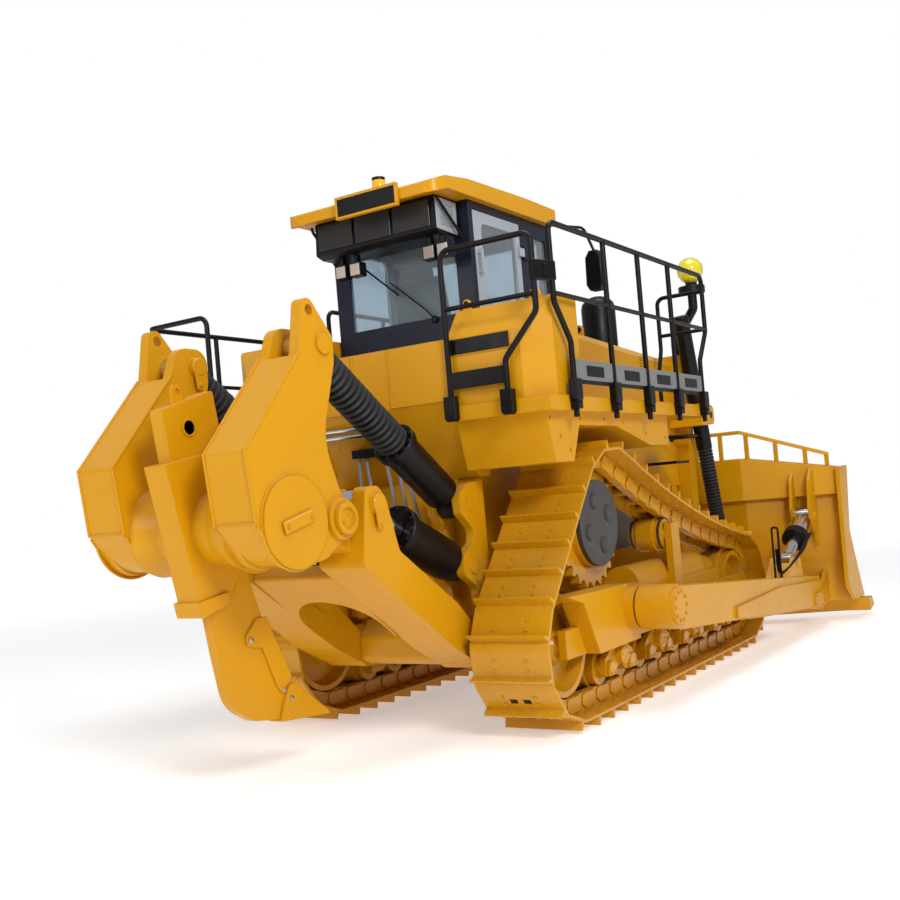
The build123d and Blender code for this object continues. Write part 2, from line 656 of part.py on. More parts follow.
def wing_and_middle(section):
    """Join a section across the middle and out along both wings; section(y, shift, drop)."""
    middle = loft([section(-BEND_Y, 0, 0), section(BEND_Y, 0, 0)], ruled=True)
    right = loft([section(-WING_END_Y, WING_SWEEP, WING_TOP_DROP), section(-BEND_Y, 0, 0)], ruled=True)
    return middle + right + flipped(right)


def wing_x(y):
    """How far ahead the wing is at this distance from the middle."""
    return WING_SWEEP * max(0.0, abs(y) - BEND_Y) / (WING_END_Y - BEND_Y)


def wing_top(y):
    """Height of the blade's upper edge at this distance from the middle."""
    return BLADE_TOP_Z - WING_TOP_DROP * max(0.0, y - BEND_Y) / (WING_END_Y - BEND_Y)


def blade_body():
    """Curved plate with box sections along the top and the foot, ribs, end plates and brackets."""
    blade = wing_and_middle(lambda y, shift, drop: blade_section(y, shift, drop, SKIN))
    blade += wing_and_middle(lambda y, shift, drop: box_section(
        y, shift, drop, BLADE_BACK_X, BLADE_FACE_MID_X + 30, BAND_BOTTOM_Z, BLADE_TOP_Z))
    blade += wing_and_middle(lambda y, shift, drop: box_section(
        y, shift, 0, BEAM_BACK_X, BLADE_FACE_FOOT_X - 100, BLADE_FOOT_Z, BEAM_TOP_Z - 200))
    blade += wing_and_middle(lambda y, shift, drop: Face(Wire.make_polygon([
        Vector(BEAM_BACK_X + shift, y, BEAM_TOP_Z - 210), Vector(BLADE_FACE_FOOT_X + shift - 160, y,
                                                                 BEAM_TOP_Z - 210),
        Vector(BLADE_FACE_MID_X + shift + 110, y, BEAM_TOP_Z), Vector(BLADE_FACE_MID_X + shift + 60, y,
                                                                      BEAM_TOP_Z)],
        close=True)))
    end = prism([(6050, 1955), (6460, 1975), (6330, 1150), (6540, 760), (6830, 265), (6350, 265),
                 (6050, 480)],
                "Y", -WING_END_Y - END_PLATE / 2, -WING_END_Y + END_PLATE / 2)
    blade += end
    blade += flipped(end)
    for y in (-300.0, 300.0):
        blade += box(BLADE_BACK_X + 40, BLADE_FACE_MID_X - 10, y - 25, y + 25, BEAM_TOP_Z - 100,
                     BAND_BOTTOM_Z + 10)
        blade += box(BLADE_FACE_MID_X - 12, BEAM_BACK_X + 40, y - 25, y + 25, 500, 900)
    for side in (-1, 1):
        for piece in blade_brackets(side):
            blade += piece
    return blade


def two_ears(profile, y, half, thick):
    """Two upright ears of one outline, either side of an eye that is 2 * half wide."""
    pair = []
    for s in (-1, 1):
        inner = y + s * (half + EYE_PLAY)
        outer = inner + s * thick
        pair.append(prism(profile, "Y", min(inner, outer), max(inner, outer)))
    return pair


def pin_ends(x, z, radius, y, half, length):
    """Heads of a pin that show outside a pair of ears."""
    return [pin(x, z, radius, min(y + s * half, y + s * (half + length)), max(y + s * half, y + s * (half
                                                                                                     + length)))
            for s in (-1, 1)]


def blade_brackets(side):
    """Push arm ears, tilt cylinder bracket and lift cylinder ears on one side of the blade's back."""
    y = side * ARM_Y
    yl = side * LIFT_Y
    x, z = BLADE_PIN_X, BLADE_PIN_Z
    pieces = two_ears([(x - 105, z - 50, 60), (x - 105, z + 60, 60), (x + 260, 700), (x + 300, 270),
                       (x, 252, 40)],
                      y, EYE_HALF, 50)
    pieces.append(pin(x, z, BLADE_PIN_R, y - EYE_HALF - 70, y + EYE_HALF + 70))
    x, z = TILT_PIN_X, TILT_PIN_Z
    pieces += two_ears([(x - 110, z - 90, 70), (x - 150, z + 110, 90), (x - 90, BLADE_TOP_Z - 330, 150),
                        (x + 60, BLADE_TOP_Z - 190), (x + 160, BLADE_TOP_Z - 260), (x + 140, 1000), (x + 60,
                                                                                                     z - 220)],
                       y, EYE_HALF, 40)
    pieces.append(pin(x, z, CYLINDER_PIN_R, y - EYE_HALF - 70, y + EYE_HALF + 70))
    x, z = LIFT_EYE_X, LIFT_EYE_Z
    pieces += two_ears([(x - 95, z - 60, 50), (x - 95, z + 60, 50), (5860, 1240), (5860, 720),
                        (x + 120, 720)],
                       yl, 60, 40)
    pieces += pin_ends(x, z, 55, yl, 60 + EYE_PLAY + 40, 24)
    pieces.append(box(5780, 5880, yl - 120, yl + 120, 650, 1300))
    return pieces


def edge_section(y, shift):
    x = BLADE_FACE_FOOT_X + shift
    return Face(Wire.make_polygon([
        Vector(x - 78, y, BLADE_FOOT_Z), Vector(x - 8, y, BLADE_FOOT_Z), Vector(x + 60, y, BLADE_FOOT_Z - 60),
        Vector(x + 130, y, EDGE_BOTTOM_Z), Vector(x + 70, y, EDGE_BOTTOM_Z)], close=True))


def cutting_edge():
    """Bolted edge along the foot and the larger bits at both ends."""
    middle = loft([edge_section(-BEND_Y, 0), edge_section(BEND_Y, 0)], ruled=True)
    wing_end = 2180.0
    right = loft([edge_section(-wing_end, wing_x(wing_end)), edge_section(-BEND_Y, 0)], ruled=True)
    bit = loft([
        Face(Wire.make_polygon([Vector(6650, -wing_end, BLADE_FOOT_Z), Vector(6700, -wing_end, BLADE_FOOT_Z),
                                Vector(6840, -wing_end, EDGE_BOTTOM_Z), Vector(6760, -wing_end,
                                                                               EDGE_BOTTOM_Z)], close=True)),
        Face(Wire.make_polygon([Vector(6800, -BIT_OUT_Y, 235), Vector(6990, -BIT_OUT_Y, 235),
                                Vector(BIT_TIP_X, -BIT_OUT_Y, 110), Vector(6850, -BIT_OUT_Y,
                                                                           60)], close=True))],
        ruled=True)
    return [middle + right + flipped(right), bit, flipped(bit)]


def spill_guard():
    """Slotted guard over the blade: slanting posts under one bent top rail."""
    x0 = BLADE_BACK_X + 60
    half = GUARD_BAR / 2
    top_middle = BLADE_TOP_Z + GUARD_RISE
    top_end = BLADE_TOP_Z - WING_TOP_DROP + GUARD_END_RISE
    end_y = WING_END_Y - 120
    x_end = x0 + wing_x(end_y)

    def bar_face(x, y, z):
        return Face(Wire.make_polygon([Vector(x - half, y, z - half), Vector(x + half, y, z - half),
                                       Vector(x + half, y, z + half), Vector(x - half, y, z
                                                                             + half)], close=True))

    rail = loft([bar_face(x0, -BEND_Y, top_middle), bar_face(x0, BEND_Y, top_middle)], ruled=True)
    wing = loft([bar_face(x_end, -end_y, top_end), bar_face(x0, -BEND_Y, top_middle)], ruled=True)
    guard = rail + wing + flipped(wing)
    post_step = 330.0
    count = int(end_y // post_step)
    for k in range(-count, count + 1):
        y = k * post_step
        share = max(0.0, abs(y) - BEND_Y) / (end_y - BEND_Y)
        foot = wing_top(abs(y) - half)
        top = top_middle + (top_end - top_middle) * share
        x = x0 + wing_x(y)
        guard += box(x - half, x + half, y - half, y + half, foot + SEAT, top)
    for side in (-1, 1):
        y = side * (end_y - half)
        guard += box(x_end - half, x_end + half, y - half, y + half, wing_top(end_y - 2 * half) + SEAT,
                     top_end)
    return guard


# ================================================================ cylinders
def cylinder(base, eye, y, barrel_r, rod_r, gland_share, inside, ear_r):
    """Barrel whose base eye turns on a pin, and a rod with a closed end eye.
    base and eye are (x, z), gland_share is where the barrel ends along that line, inside is
    how much of the rod is in the barrel, and ear_r is the reach of the ears at the base."""
    a, b = (base[0], y, base[1]), (eye[0], y, eye[1])
    eye_r = CYLINDER_PIN_R + 52
    gland = math.dist(a, b) * gland_share
    start = ear_r + 14
    barrel = rod(a, along(a, b, start + 30), EYE_HALF * 0.92)
    barrel += rod(along(a, b, start), along(a, b, gland), barrel_r)
    barrel += rod(along(a, b, gland - 90), along(a, b, gland), barrel_r + 20)
    barrel += pin(base[0], base[1], eye_r, y - EYE_HALF, y + EYE_HALF)
    barrel -= rod(along(a, b, start + 60), along(a, b, gland + 1), rod_r + FIT)
    barrel -= pin(base[0], base[1], CYLINDER_PIN_R + FIT, y - EYE_HALF - 1, y + EYE_HALF + 1)
    stem = rod(along(a, b, gland - inside), b, rod_r)
    stem += pin(eye[0], eye[1], eye_r, y - EYE_HALF, y + EYE_HALF)
    return barrel, stem


def tilt_cylinders():
    return cylinder((TILT_PIN_X, TILT_PIN_Z), (TILT_EYE_X, TILT_EYE_Z), -ARM_Y, TILT_BARREL_R, TILT_ROD_R,
                    0.53, 240, 150)


def ripper_pitch_cylinders():
    return cylinder((EAR_PIN_X, EAR_PIN_Z), (TOP_PIN_X, TOP_PIN_Z), -RIPPER_Y, PITCH_BARREL_R, PITCH_ROD_R,
                    0.44, 400, 180)


def ripper_raise_cylinders():
    return cylinder((LOW_EAR_X, LOW_EAR_Z), (LIFT_LUG_X, LIFT_LUG_Z), -RIPPER_Y, RAISE_BARREL_R, RAISE_ROD_R,
                    0.64, 520, 180)


def lift_cylinders():
    """Barrel hung in a yoke, with the rod below it."""
    yoke, eye = (LIFT_YOKE_X, -LIFT_Y, LIFT_YOKE_Z), (LIFT_EYE_X, -LIFT_Y, LIFT_EYE_Z)
    barrel = rod(along(yoke, eye, -LIFT_HEAD), along(yoke, eye, LIFT_FOOT), LIFT_BARREL_R)
    barrel += pin(LIFT_YOKE_X, LIFT_YOKE_Z, TRUNNION_PIN_R, -LIFT_Y - YOKE_OUT, -LIFT_Y + 100)
    barrel -= rod(along(yoke, eye, -LIFT_HEAD + 40), along(yoke, eye, LIFT_FOOT + 1), LIFT_ROD_R + FIT)
    length = math.dist(yoke, eye)
    stem = rod(along(yoke, eye, length - LIFT_ROD), eye, LIFT_ROD_R)
    stem += pin(LIFT_EYE_X, LIFT_EYE_Z, 95, -LIFT_Y - 60, -LIFT_Y + 60)
    return barrel, stem


# ================================================================ ripper
def ripper_beam():
    """Two side boxes with tall lugs, the flared tube between them and the pocket for the shank."""
    y_in, y_out = -RIPPER_Y + BOX_HALF, -RIPPER_Y - BOX_HALF
    rear = [(-2675, 1927, 60), (-2728, 2402, 50)]
    front = [(-1936, 2473, 500), (-1800, 2110, 400), (-1690, 1930, 60), (-1750, 1790, 60)]
    under = [(-2010, 1640, 250), (-2450, 1600, 280)]
    tall = rear + [(-2121, 3071, 40), (-2050, 3460, 60), (-1960, 3460, 60), (-1742, 3203, 80),
                   (-1751, 3020, 60)] + front + under
    low = rear + [(-2121, 3071, 60), (-2040, 3290, 120), (-1742, 3290, 120),
                  (-1751, 3020, 60)] + front + under
    core = rear + [(-2121, 3071, 30), (-1990, 3000, 30)] + front[:1] + [(-2030, 2110, 40),
                                                                        (-2030, 1700, 40)] + under[1:]
    half_eye = EYE_HALF + EYE_PLAY
    outer = prism(tall, "Y", y_out, -RIPPER_Y - half_eye)
    inner = prism(low, "Y", -RIPPER_Y + half_eye, y_in)
    fill = prism(core, "Y", -RIPPER_Y - half_eye, -RIPPER_Y + half_eye)
    side = outer + inner + fill
    side += pin(BEAM_TUBE_X, BEAM_TUBE_Z, BEAM_DISC_R, y_out - BEAM_DISC, y_out)
    side += pin(BEAM_PIN_X, BEAM_PIN_Z, 150, y_out - 40, y_out)
    side -= pin(BEAM_PIN_X, BEAM_PIN_Z, CYLINDER_PIN_R + FIT, y_out - 50, y_in + 1)
    side -= pin(LUG_EYE_X, LUG_EYE_Z, LUG_EYE_R, y_out - 5, -RIPPER_Y - half_eye + 1)
    side += pin(TOP_PIN_X, TOP_PIN_Z, 75, y_out - 22, y_out)
    side += pin(TOP_PIN_X, TOP_PIN_Z, 75, y_in, y_in + 22)
    tube = pin(BEAM_TUBE_X, BEAM_TUBE_Z, BEAM_TUBE_R, y_in, 0)
    flare = cone((BEAM_TUBE_X, y_in, BEAM_TUBE_Z), (BEAM_TUBE_X, y_in + 200, BEAM_TUBE_Z), BEAM_FLARE_R,
                 BEAM_TUBE_R)
    half = side + tube + flare
    return half + flipped(half) + pocket() - shank_space() - shank_pin_at(SHANK_PIN_R + FIT)


def pocket():
    """Narrow upright box on the tube that holds the shank, wider in its lower half, with a collar at its foot."""
    upper = prism([(-2700, 2750, 20), (-2220, 2900, 20), (-2130, 2300), (-2640, 2300)],
                  "Y", -POCKET_UPPER_HALF, POCKET_UPPER_HALF)
    lower = prism([(POCKET_REAR_X, 2375, 10), (-2150, 2480, 10), (-2010, 1700), (-2140, 1600),
                   (-2260, 1400, 20),
                   (-2540, 1400)], "Y", -POCKET_HALF, POCKET_HALF)
    collar = prism([(-2570, 1425, 10), (-2275, 1470, 10), (-2275, 1385, 10), (-2545, 1310, 20)],
                   "Y", -POCKET_HALF - COLLAR_RIM, POCKET_HALF + COLLAR_RIM)
    eye = prism([(-2560, 2780), (-2550, 2930, 40), (-2470, 2940, 40), (-2440, 2820)], "Y", -EYE_PLATE,
                EYE_PLATE)
    return upper + lower + collar + eye - pin(-2503, 2883, 22, -EYE_PLATE - 1, EYE_PLATE + 1)


SHANK_HEAD = ((-2610, 2680), (-2250, 2750))     # top of the shank, rear then front; x, z
SHANK_WAIST = ((-2410, 1400), (-1965, 1450))    # where it leaves the collar
SHANK_REAR = [(-2345, 1000, 260), (-2275, 640, 300), (-2050, 500, 150), (-1800, 458, 20)]
SHANK_FRONT = [(-1650, 520, 20), (-1640, 640, 20), (-1745, 860, 60), (-1850, 1110, 120)]


def shank_space():
    """Slot through the pocket, wider than the shank by its clearance."""
    (rear_x, rear_z), (front_x, front_z) = SHANK_HEAD
    (low_rear_x, low_rear_z), (low_front_x, low_front_z) = SHANK_WAIST
    below = 200.0
    rear_lean = (low_rear_x - rear_x) / (rear_z - low_rear_z) * below
    front_lean = (low_front_x - front_x) / (front_z - low_front_z) * below
    slot = [(rear_x - SHANK_GAP, rear_z + SHANK_GAP), (low_rear_x - SHANK_GAP + rear_lean, low_rear_z
                                                       - below),
            (low_front_x + SHANK_GAP + front_lean, low_front_z - below), (front_x + SHANK_GAP, front_z
                                                                          + SHANK_GAP)]
    return prism(slot, "Y", -SHANK_HALF - SHANK_GAP, SHANK_HALF + SHANK_GAP)


def shank_outline():
    (rear, front), (low_rear, low_front) = SHANK_HEAD, SHANK_WAIST
    return [(*rear, 20), (*low_rear, 0), *SHANK_REAR, *SHANK_FRONT, (*low_front, 0), (*front, 20)]


def shank():
    """Straight blade in the pocket that curves forward to its nose, with the pin that holds it."""
    return prism(shank_outline(), "Y", -SHANK_HALF, SHANK_HALF) + shank_pin_at(SHANK_PIN_R)


def shank_room():
    """The shank's outline grown by the gap at which its wear parts sit on it."""
    face = Face(rounded_wire(shank_outline(), LIFTS["Y"]))
    grown = offset(face, amount=SEAT).faces()[0]
    reach = SHANK_HALF + SEAT
    return Solid.extrude(grown, WAYS["Y"] * (2 * reach)).moved(Location((0, -reach, 0)))


def ripper_tip():
    """Wedge with two cheeks that slides over the shank's nose."""
    half = SHANK_HALF + TIP_CHEEK
    wedge = prism([(-1800, 440, 10), (TIP_POINT_X, 385), (TIP_POINT_X - 15, 418), (-1620, 700, 15),
                   (-1680, 690, 10),
                   (-1745, 570, 10)], "Y", -half, half)
    return wedge - shank_room()


def shin_guard():
    """Wear plate that wraps the front edge of the shank above the tip."""
    half = SHANK_HALF + TIP_CHEEK - 5
    plate = prism([(-1860, 1235, 15), (-1960, 1235, 15), (-2085, 1120, 30), (-2085, 1050, 30),
                   (-1925, 1010, 20),
                   (-1800, 700, 20), (-1755, 645, 15), (-1690, 700, 10), (-1640, 760, 15), (-1700, 880, 60),
                   (-1800, 1090, 80)], "Y", -half, half)
    return plate - shank_room()


def ripper_link():
    """Lower link: two arms with hubs, lugs for the lift cylinders and a cross plate between them."""
    x, z = LIFT_LUG_X, LIFT_LUG_Z
    side = prism([(LINK_PIN_X - 60, LINK_PIN_Z + 130, 60), (-458, 1135), (-1190, 1625, 80),
                  (x + 130, z + 40, 90),
                  (x + 40, z + 130, 60), (x - 110, z + 130, 60), (x - 150, z - 110, 40), (-1640, 1560, 60),
                  (-537, 774), (LINK_PIN_X - 90, LINK_PIN_Z - 120, 60)], "Y", -LINK_OUT_Y, -LINK_IN_Y)
    side -= box(-1750, -1180, -RIPPER_Y - EYE_HALF - EYE_PLAY, -RIPPER_Y + EYE_HALF + EYE_PLAY, 1740, 2300)
    side += prism([(BEAM_PIN_X + 30, BEAM_PIN_Z + 130, 40), (-1600, 1738), (-1380, 1500),
                   (BEAM_PIN_X + 90, BEAM_PIN_Z - 180, 60), (BEAM_PIN_X - 60, BEAM_PIN_Z - 110, 40)],
                  "Y", -RIPPER_Y - EYE_HALF, -RIPPER_Y + EYE_HALF)
    side += pin(LINK_PIN_X, LINK_PIN_Z, LINK_HUB_R, -LINK_OUT_Y, -LINK_IN_Y)
    side += pin(BEAM_PIN_X, BEAM_PIN_Z, 138, -RIPPER_Y - EYE_HALF, -RIPPER_Y + EYE_HALF)
    for piece in pin_ends(x, z, 80, -RIPPER_Y, 210, 24):
        side += piece
    side -= pin(LINK_PIN_X, LINK_PIN_Z, CYLINDER_PIN_R + FIT, -LINK_OUT_Y - 1, -LINK_IN_Y + 1)
    side -= pin(BEAM_PIN_X, BEAM_PIN_Z, CYLINDER_PIN_R + FIT, -RIPPER_Y - EYE_HALF - 1, -RIPPER_Y + EYE_HALF
                + 1)
    cross = prism([(-1500, 1480, 30), (-1330, 1560, 30), (-640, 1080, 30), (-740, 900, 30)],
                  "Y", -LINK_IN_Y - 5, LINK_IN_Y + 5)
    (cx, cz), (ax, az), far = LINK_ARCH, LINK_ARCH_AXIS, 300.0
    arch_r = LINK_IN_Y - LINK_ARCH_SIDE
    arch = rod((cx - ax * far, 0, cz - az * far), (cx + ax * far, 0, cz + az * far), arch_r)
    arch += prism([(cx - ax * far, cz - az * far), (cx + ax * far, cz + az * far),
                   (cx + ax * far + az * far, cz + az * far - ax * far),
                   (cx - ax * far + az * far, cz - az * far - ax * far)], "Y", -arch_r, arch_r)
    return side + flipped(side) + (cross - arch)


def shank_pin_at(radius):
    return pin(SHANK_PIN_X, SHANK_PIN_Z, radius, -POCKET_UPPER_HALF, POCKET_UPPER_HALF)


def ripper_pins():
    """Pins that join the beam to the link."""
    return pin(BEAM_PIN_X, BEAM_PIN_Z, CYLINDER_PIN_R, -RIPPER_Y - BOX_HALF - 30, -RIPPER_Y + BOX_HALF - 5)


def ear_pins():
    """Pins that the upper cylinders turn on."""
    return pin(EAR_PIN_X, EAR_PIN_Z, CYLINDER_PIN_R, -RIPPER_Y - 172, -RIPPER_Y + 172)


# ================================================================ tractor body
def main_frame():
    """Case and frame rails from the rear to the nose, with the cross shaft and the hood's feet."""
    frame = box(140, 5000, -FRAME_HALF, -300, 800, 1250) + box(140, 5000, 300, FRAME_HALF, 800, 1250)
    frame += box(140, 1500, -FRAME_HALF, FRAME_HALF, 800, CASE_TOP_Z)
    frame += box(4500, 5000, -FRAME_HALF, FRAME_HALF, 800, 1250)
    frame += pin(TRUNNION_X, 900, 140, -FRAME_IN_Y, FRAME_IN_Y)
    frame += box(CAB_REAR_X, 1500, -PEDESTAL_HALF, PEDESTAL_HALF, CASE_TOP_Z - 1, CAB_FLOOR_Z - SEAT)
    frame += box(1499, CAB_FRONT_X, -PEDESTAL_HALF, PEDESTAL_HALF, 1250, CAB_FLOOR_Z - SEAT)
    frame += box(1250, 1450, -FENDER_IN_Y + SEAT, FENDER_IN_Y - SEAT, 2520, 2600)
    for x in (2000, 4600):
        for side in (-1, 1):
            y0, y1 = sorted((side * (FRAME_HALF - 20), side * HOOD_HALF))
            frame += box(x, x + 160, y0, y1, 1000, HOOD_FOOT_Z - SEAT)
    return frame


def rear_bracket():
    """Cast ears and block on the case that carry the ripper's link and its four cylinders."""
    profile = [(140, 2130), (-110, 2100, 60), (-255, 2010, 90), (-235, 1850, 60), (-60, 1700, 80),
               (-80, 1600, 60),
               (-255, 1510, 80), (-265, 1340, 80), (-70, 1220, 80), (-60, 960, 20), (140, 960)]
    ears = two_ears(profile, -RIPPER_Y, EYE_HALF, 80)
    side = ears[0] + ears[1] + box(60, 140, -RIPPER_Y - 172, -RIPPER_Y + 172, 960, 2130)
    side -= pin(EAR_PIN_X, EAR_PIN_Z, CYLINDER_PIN_R + FIT, -RIPPER_Y - 180, -RIPPER_Y + 180)
    side += pin(LOW_EAR_X, LOW_EAR_Z, CYLINDER_PIN_R, -RIPPER_Y - 185, -RIPPER_Y + 178)
    half_block = LINK_IN_Y - EYE_PLAY
    block = prism([(-200, 620, 60), (-200, 820, 60), (-60, 960), (140, 960), (140, 560), (-60, 560, 60)],
                  "Y", -half_block, half_block)
    block += box(60, 140, -FRAME_HALF, FRAME_HALF, 880, 2130)
    block += pin(LINK_PIN_X, LINK_PIN_Z, CYLINDER_PIN_R, -LINK_OUT_Y - 20, LINK_OUT_Y + 20)
    return side + flipped(side) + block


def engine_block():
    return box(2250, 4450, -480, 480, 1250 + SEAT, 3000)


def hood():
    """Sheet cover over the engine, open below."""
    def shape(inset):
        return prism([(HOOD_REAR_X + inset, HOOD_FOOT_Z - inset), (HOOD_REAR_X + inset, HOOD_REAR_Z - inset),
                      (HOOD_FRONT_X - inset, HOOD_FRONT_Z - inset), (HOOD_FRONT_X - inset, HOOD_FOOT_Z
                                                                     - inset)],
                     "Y", -HOOD_HALF + inset, HOOD_HALF - inset)
    outer = shape(0)
    long_edges = [e for e in outer.edges() if e.length > 2500 and e.center().Z > 3000]
    outer = chamfer(long_edges, 90)
    inner = shape(HOOD_SKIN)
    inner_edges = [e for e in inner.edges() if e.length > 2500 and e.center().Z > 3000]
    return outer - chamfer(inner_edges, 84)


def radiator_guard():
    """Nose casting with an open front, and a yoke on each side for a lift cylinder."""
    back = HOOD_FRONT_X + SEAT
    profile = [(back, NOSE_SHOULDER_Z), (back, NOSE_TOP_Z), (NOSE_X, NOSE_TOP_Z, 60),
               (NOSE_X, NOSE_SHOULDER_Z)]
    guard = prism(profile, "Y", -NOSE_HALF, NOSE_HALF)
    guard += box(back, NOSE_X, -NOSE_LOW_HALF, NOSE_LOW_HALF, NOSE_FOOT_Z + SEAT, NOSE_SHOULDER_Z + 1)
    guard -= box(NOSE_X - 130, NOSE_X + 1, -GRILLE_HALF, GRILLE_HALF, GRILLE_FOOT_Z, GRILLE_TOP_Z)
    z0, z1 = LIFT_YOKE_Z - 130, LIFT_YOKE_Z + 130
    arm_in = LIFT_Y + YOKE_OUT - 45
    for side in (-1, 1):
        y0, y1 = sorted((side * (NOSE_HALF - 100), side * (LIFT_Y + YOKE_OUT)))
        guard += box(YOKE_BACK_X - 160, YOKE_BACK_X, y0, y1, z0, z1)
        guard += box(YOKE_BACK_X - 160, back + 40, *sorted((side * (HOOD_HALF + 10), side * NOSE_HALF)), z0,
                     z1)
        y0, y1 = sorted((side * arm_in, side * (LIFT_Y + YOKE_OUT)))
        guard += prism([(YOKE_BACK_X - 1, z0), (YOKE_BACK_X - 1, z1), (LIFT_YOKE_X + 100, z1 - 20, 70),
                        (LIFT_YOKE_X + 100, z0 + 20, 70)], "Y", y0, y1)
        guard -= pin(LIFT_YOKE_X, LIFT_YOKE_Z, TRUNNION_PIN_R + FIT,
                     *sorted((side * (arm_in - 9), side * (arm_in + 60))))
    return guard


def grille():
    """Bars across the nose's opening."""
    bars = box(NOSE_X - 126, NOSE_X - 90, -GRILLE_HALF + SEAT, GRILLE_HALF - SEAT, GRILLE_TOP_Z - 60,
               GRILLE_TOP_Z - SEAT)
    bars += box(NOSE_X - 126, NOSE_X - 90, -GRILLE_HALF + SEAT, GRILLE_HALF - SEAT, GRILLE_FOOT_Z + SEAT,
                GRILLE_FOOT_Z + 60)
    for k in range(-6, 7):
        y = k * GRILLE_HALF / 6.6
        bars += box(NOSE_X - 90.5, NOSE_X - 40, y - 14, y + 14, GRILLE_FOOT_Z + 20, GRILLE_TOP_Z - 20)
    return bars


def rear_tank():
    """Fuel tank across the machine behind the cab."""
    front = CAB_REAR_X - 34
    return prism([(DECK_REAR_X, TANK_FOOT_Z), (DECK_REAR_X, TANK_TOP_Z - 60, 60), (front, TANK_TOP_Z, 40),
                  (front, CASE_TOP_Z + SEAT), (140, CASE_TOP_Z + SEAT), (0, 2400)],
                 "Y", -FENDER_IN_Y + SEAT, FENDER_IN_Y - SEAT)


def fender():
    """Walkway deck with its edge band, the skirt over the track and the tank behind the doorway."""
    deck = box(DECK_REAR_X, DECK_FRONT_X, -DECK_OUT_Y, -FENDER_IN_Y, DECK_Z - DECK_DEEP, DECK_Z)
    skirt = prism([(DECK_REAR_X + 80, DECK_Z - DECK_DEEP + 1), (-70, SKIRT_Z), (250, SKIRT_Z), (396, 2508),
                   (1144, 2508), (1900, 2330),
                   (2360, 2330), (2360, DECK_Z - DECK_DEEP + 1)], "Y", -SKIRT_OUT_Y, -FENDER_IN_Y)
    tank = box(DECK_REAR_X + 30, SIDE_TANK_FRONT_X, -1700, -FENDER_IN_Y, DECK_Z, SIDE_TANK_TOP_Z)
    tank = chamfer([e for e in tank.edges().filter_by(Axis.Y) if e.center().X < 0 and e.center().Z > 3000],
                   260, 200)
    corner = prism([(-300, -1400), (-300, -1800), (30, -1800)], "Z", DECK_Z, SIDE_TANK_TOP_Z + 10)
    return deck + skirt + (tank - corner)


# ================================================================ cab
def cab_shell():
    """Cab body: floor, corner posts and panels, with doorways and window openings."""
    shell = box(CAB_REAR_X, CAB_FRONT_X, -CAB_HALF, CAB_HALF, CAB_FLOOR_Z, CAB_TOP_Z)
    shell -= box(CAB_REAR_X + CAB_WALL, CAB_FRONT_X - CAB_WALL, -CAB_HALF + CAB_WALL, CAB_HALF - CAB_WALL,
                 CAB_FLOOR_Z + CAB_WALL, CAB_TOP_Z - CAB_WALL)
    g = PANEL_GAP
    for side in (-1, 1):
        y0, y1 = sorted((side * (CAB_HALF - CAB_WALL - 1), side * (CAB_HALF + 1)))
        shell -= box(DOOR_REAR_X - g, DOOR_FRONT_X + g, y0, y1, DOOR_FOOT_Z - g, DOOR_TOP_Z + g)
        shell -= box(SIDE_WINDOW_X0, SIDE_WINDOW_X1, y0, y1, WINDOW_FOOT_Z, WINDOW_TOP_Z)
    shell -= box(CAB_REAR_X - 1, CAB_REAR_X + CAB_WALL + 1, -REAR_WINDOW_HALF, REAR_WINDOW_HALF,
                 REAR_WINDOW_FOOT_Z, WINDOW_TOP_Z)
    shell -= box(CAB_FRONT_X - CAB_WALL - 1, CAB_FRONT_X + 1, -FRONT_WINDOW_HALF, FRONT_WINDOW_HALF,
                 WINDOW_FOOT_Z, WINDOW_TOP_Z)
    for side in (-1, 1):
        axis_y = side * (CAB_HALF + HINGE_OUT)
        y0, y1 = sorted((side * CAB_HALF, side * (CAB_HALF + HINGE_OUT + 12)))
        for z in HINGE_ZS:
            shell += box(HINGE_X + 22, HINGE_X + 90, y0, y1, z - 62, z + 62)
            shell += box(HINGE_X - 9, HINGE_X + 23, y0, y1, z + 46, z + 62)
            shell += box(HINGE_X - 9, HINGE_X + 23, y0, y1, z - 62, z - 46)
            shell += rod((HINGE_X, axis_y, z - 47), (HINGE_X, axis_y, z + 47), HINGE_PIN_R)
    return shell


def cab_door():
    """Door leaf with its window cut, hinge knuckles on the front edge and a handle at the rear."""
    y0, y1 = -CAB_HALF, -CAB_HALF + CAB_WALL
    leaf = box(DOOR_REAR_X, DOOR_FRONT_X, y0, y1, DOOR_FOOT_Z, DOOR_TOP_Z)
    leaf -= door_window(0, y0 - 1, y1 + 1)
    for z in HINGE_ZS:
        leaf += rod((HINGE_X, y0 - HINGE_OUT, z - 40), (HINGE_X, y0 - HINGE_OUT, z + 40), 12)
        leaf += box(DOOR_FRONT_X - 60, DOOR_FRONT_X, y0 - HINGE_OUT - 8, y0 + 1, z - 40, z + 40)
        leaf += box(DOOR_FRONT_X - 60, HINGE_X, y0 - HINGE_OUT - 8, y0 - HINGE_OUT + 8, z - 40, z + 40)
        leaf -= rod((HINGE_X, y0 - HINGE_OUT, z - 41), (HINGE_X, y0 - HINGE_OUT, z + 41), HINGE_PIN_R + FIT)
    leaf += box(DOOR_REAR_X + 30, DOOR_REAR_X + 60, y0 - 50, y0 - 26, HANDLE_Z, HANDLE_Z + 220)
    for z in (HANDLE_Z + 10, HANDLE_Z + 180):
        leaf += box(DOOR_REAR_X + 30, DOOR_REAR_X + 60, y0 - 27, y0 + 1, z, z + 30)
    return leaf


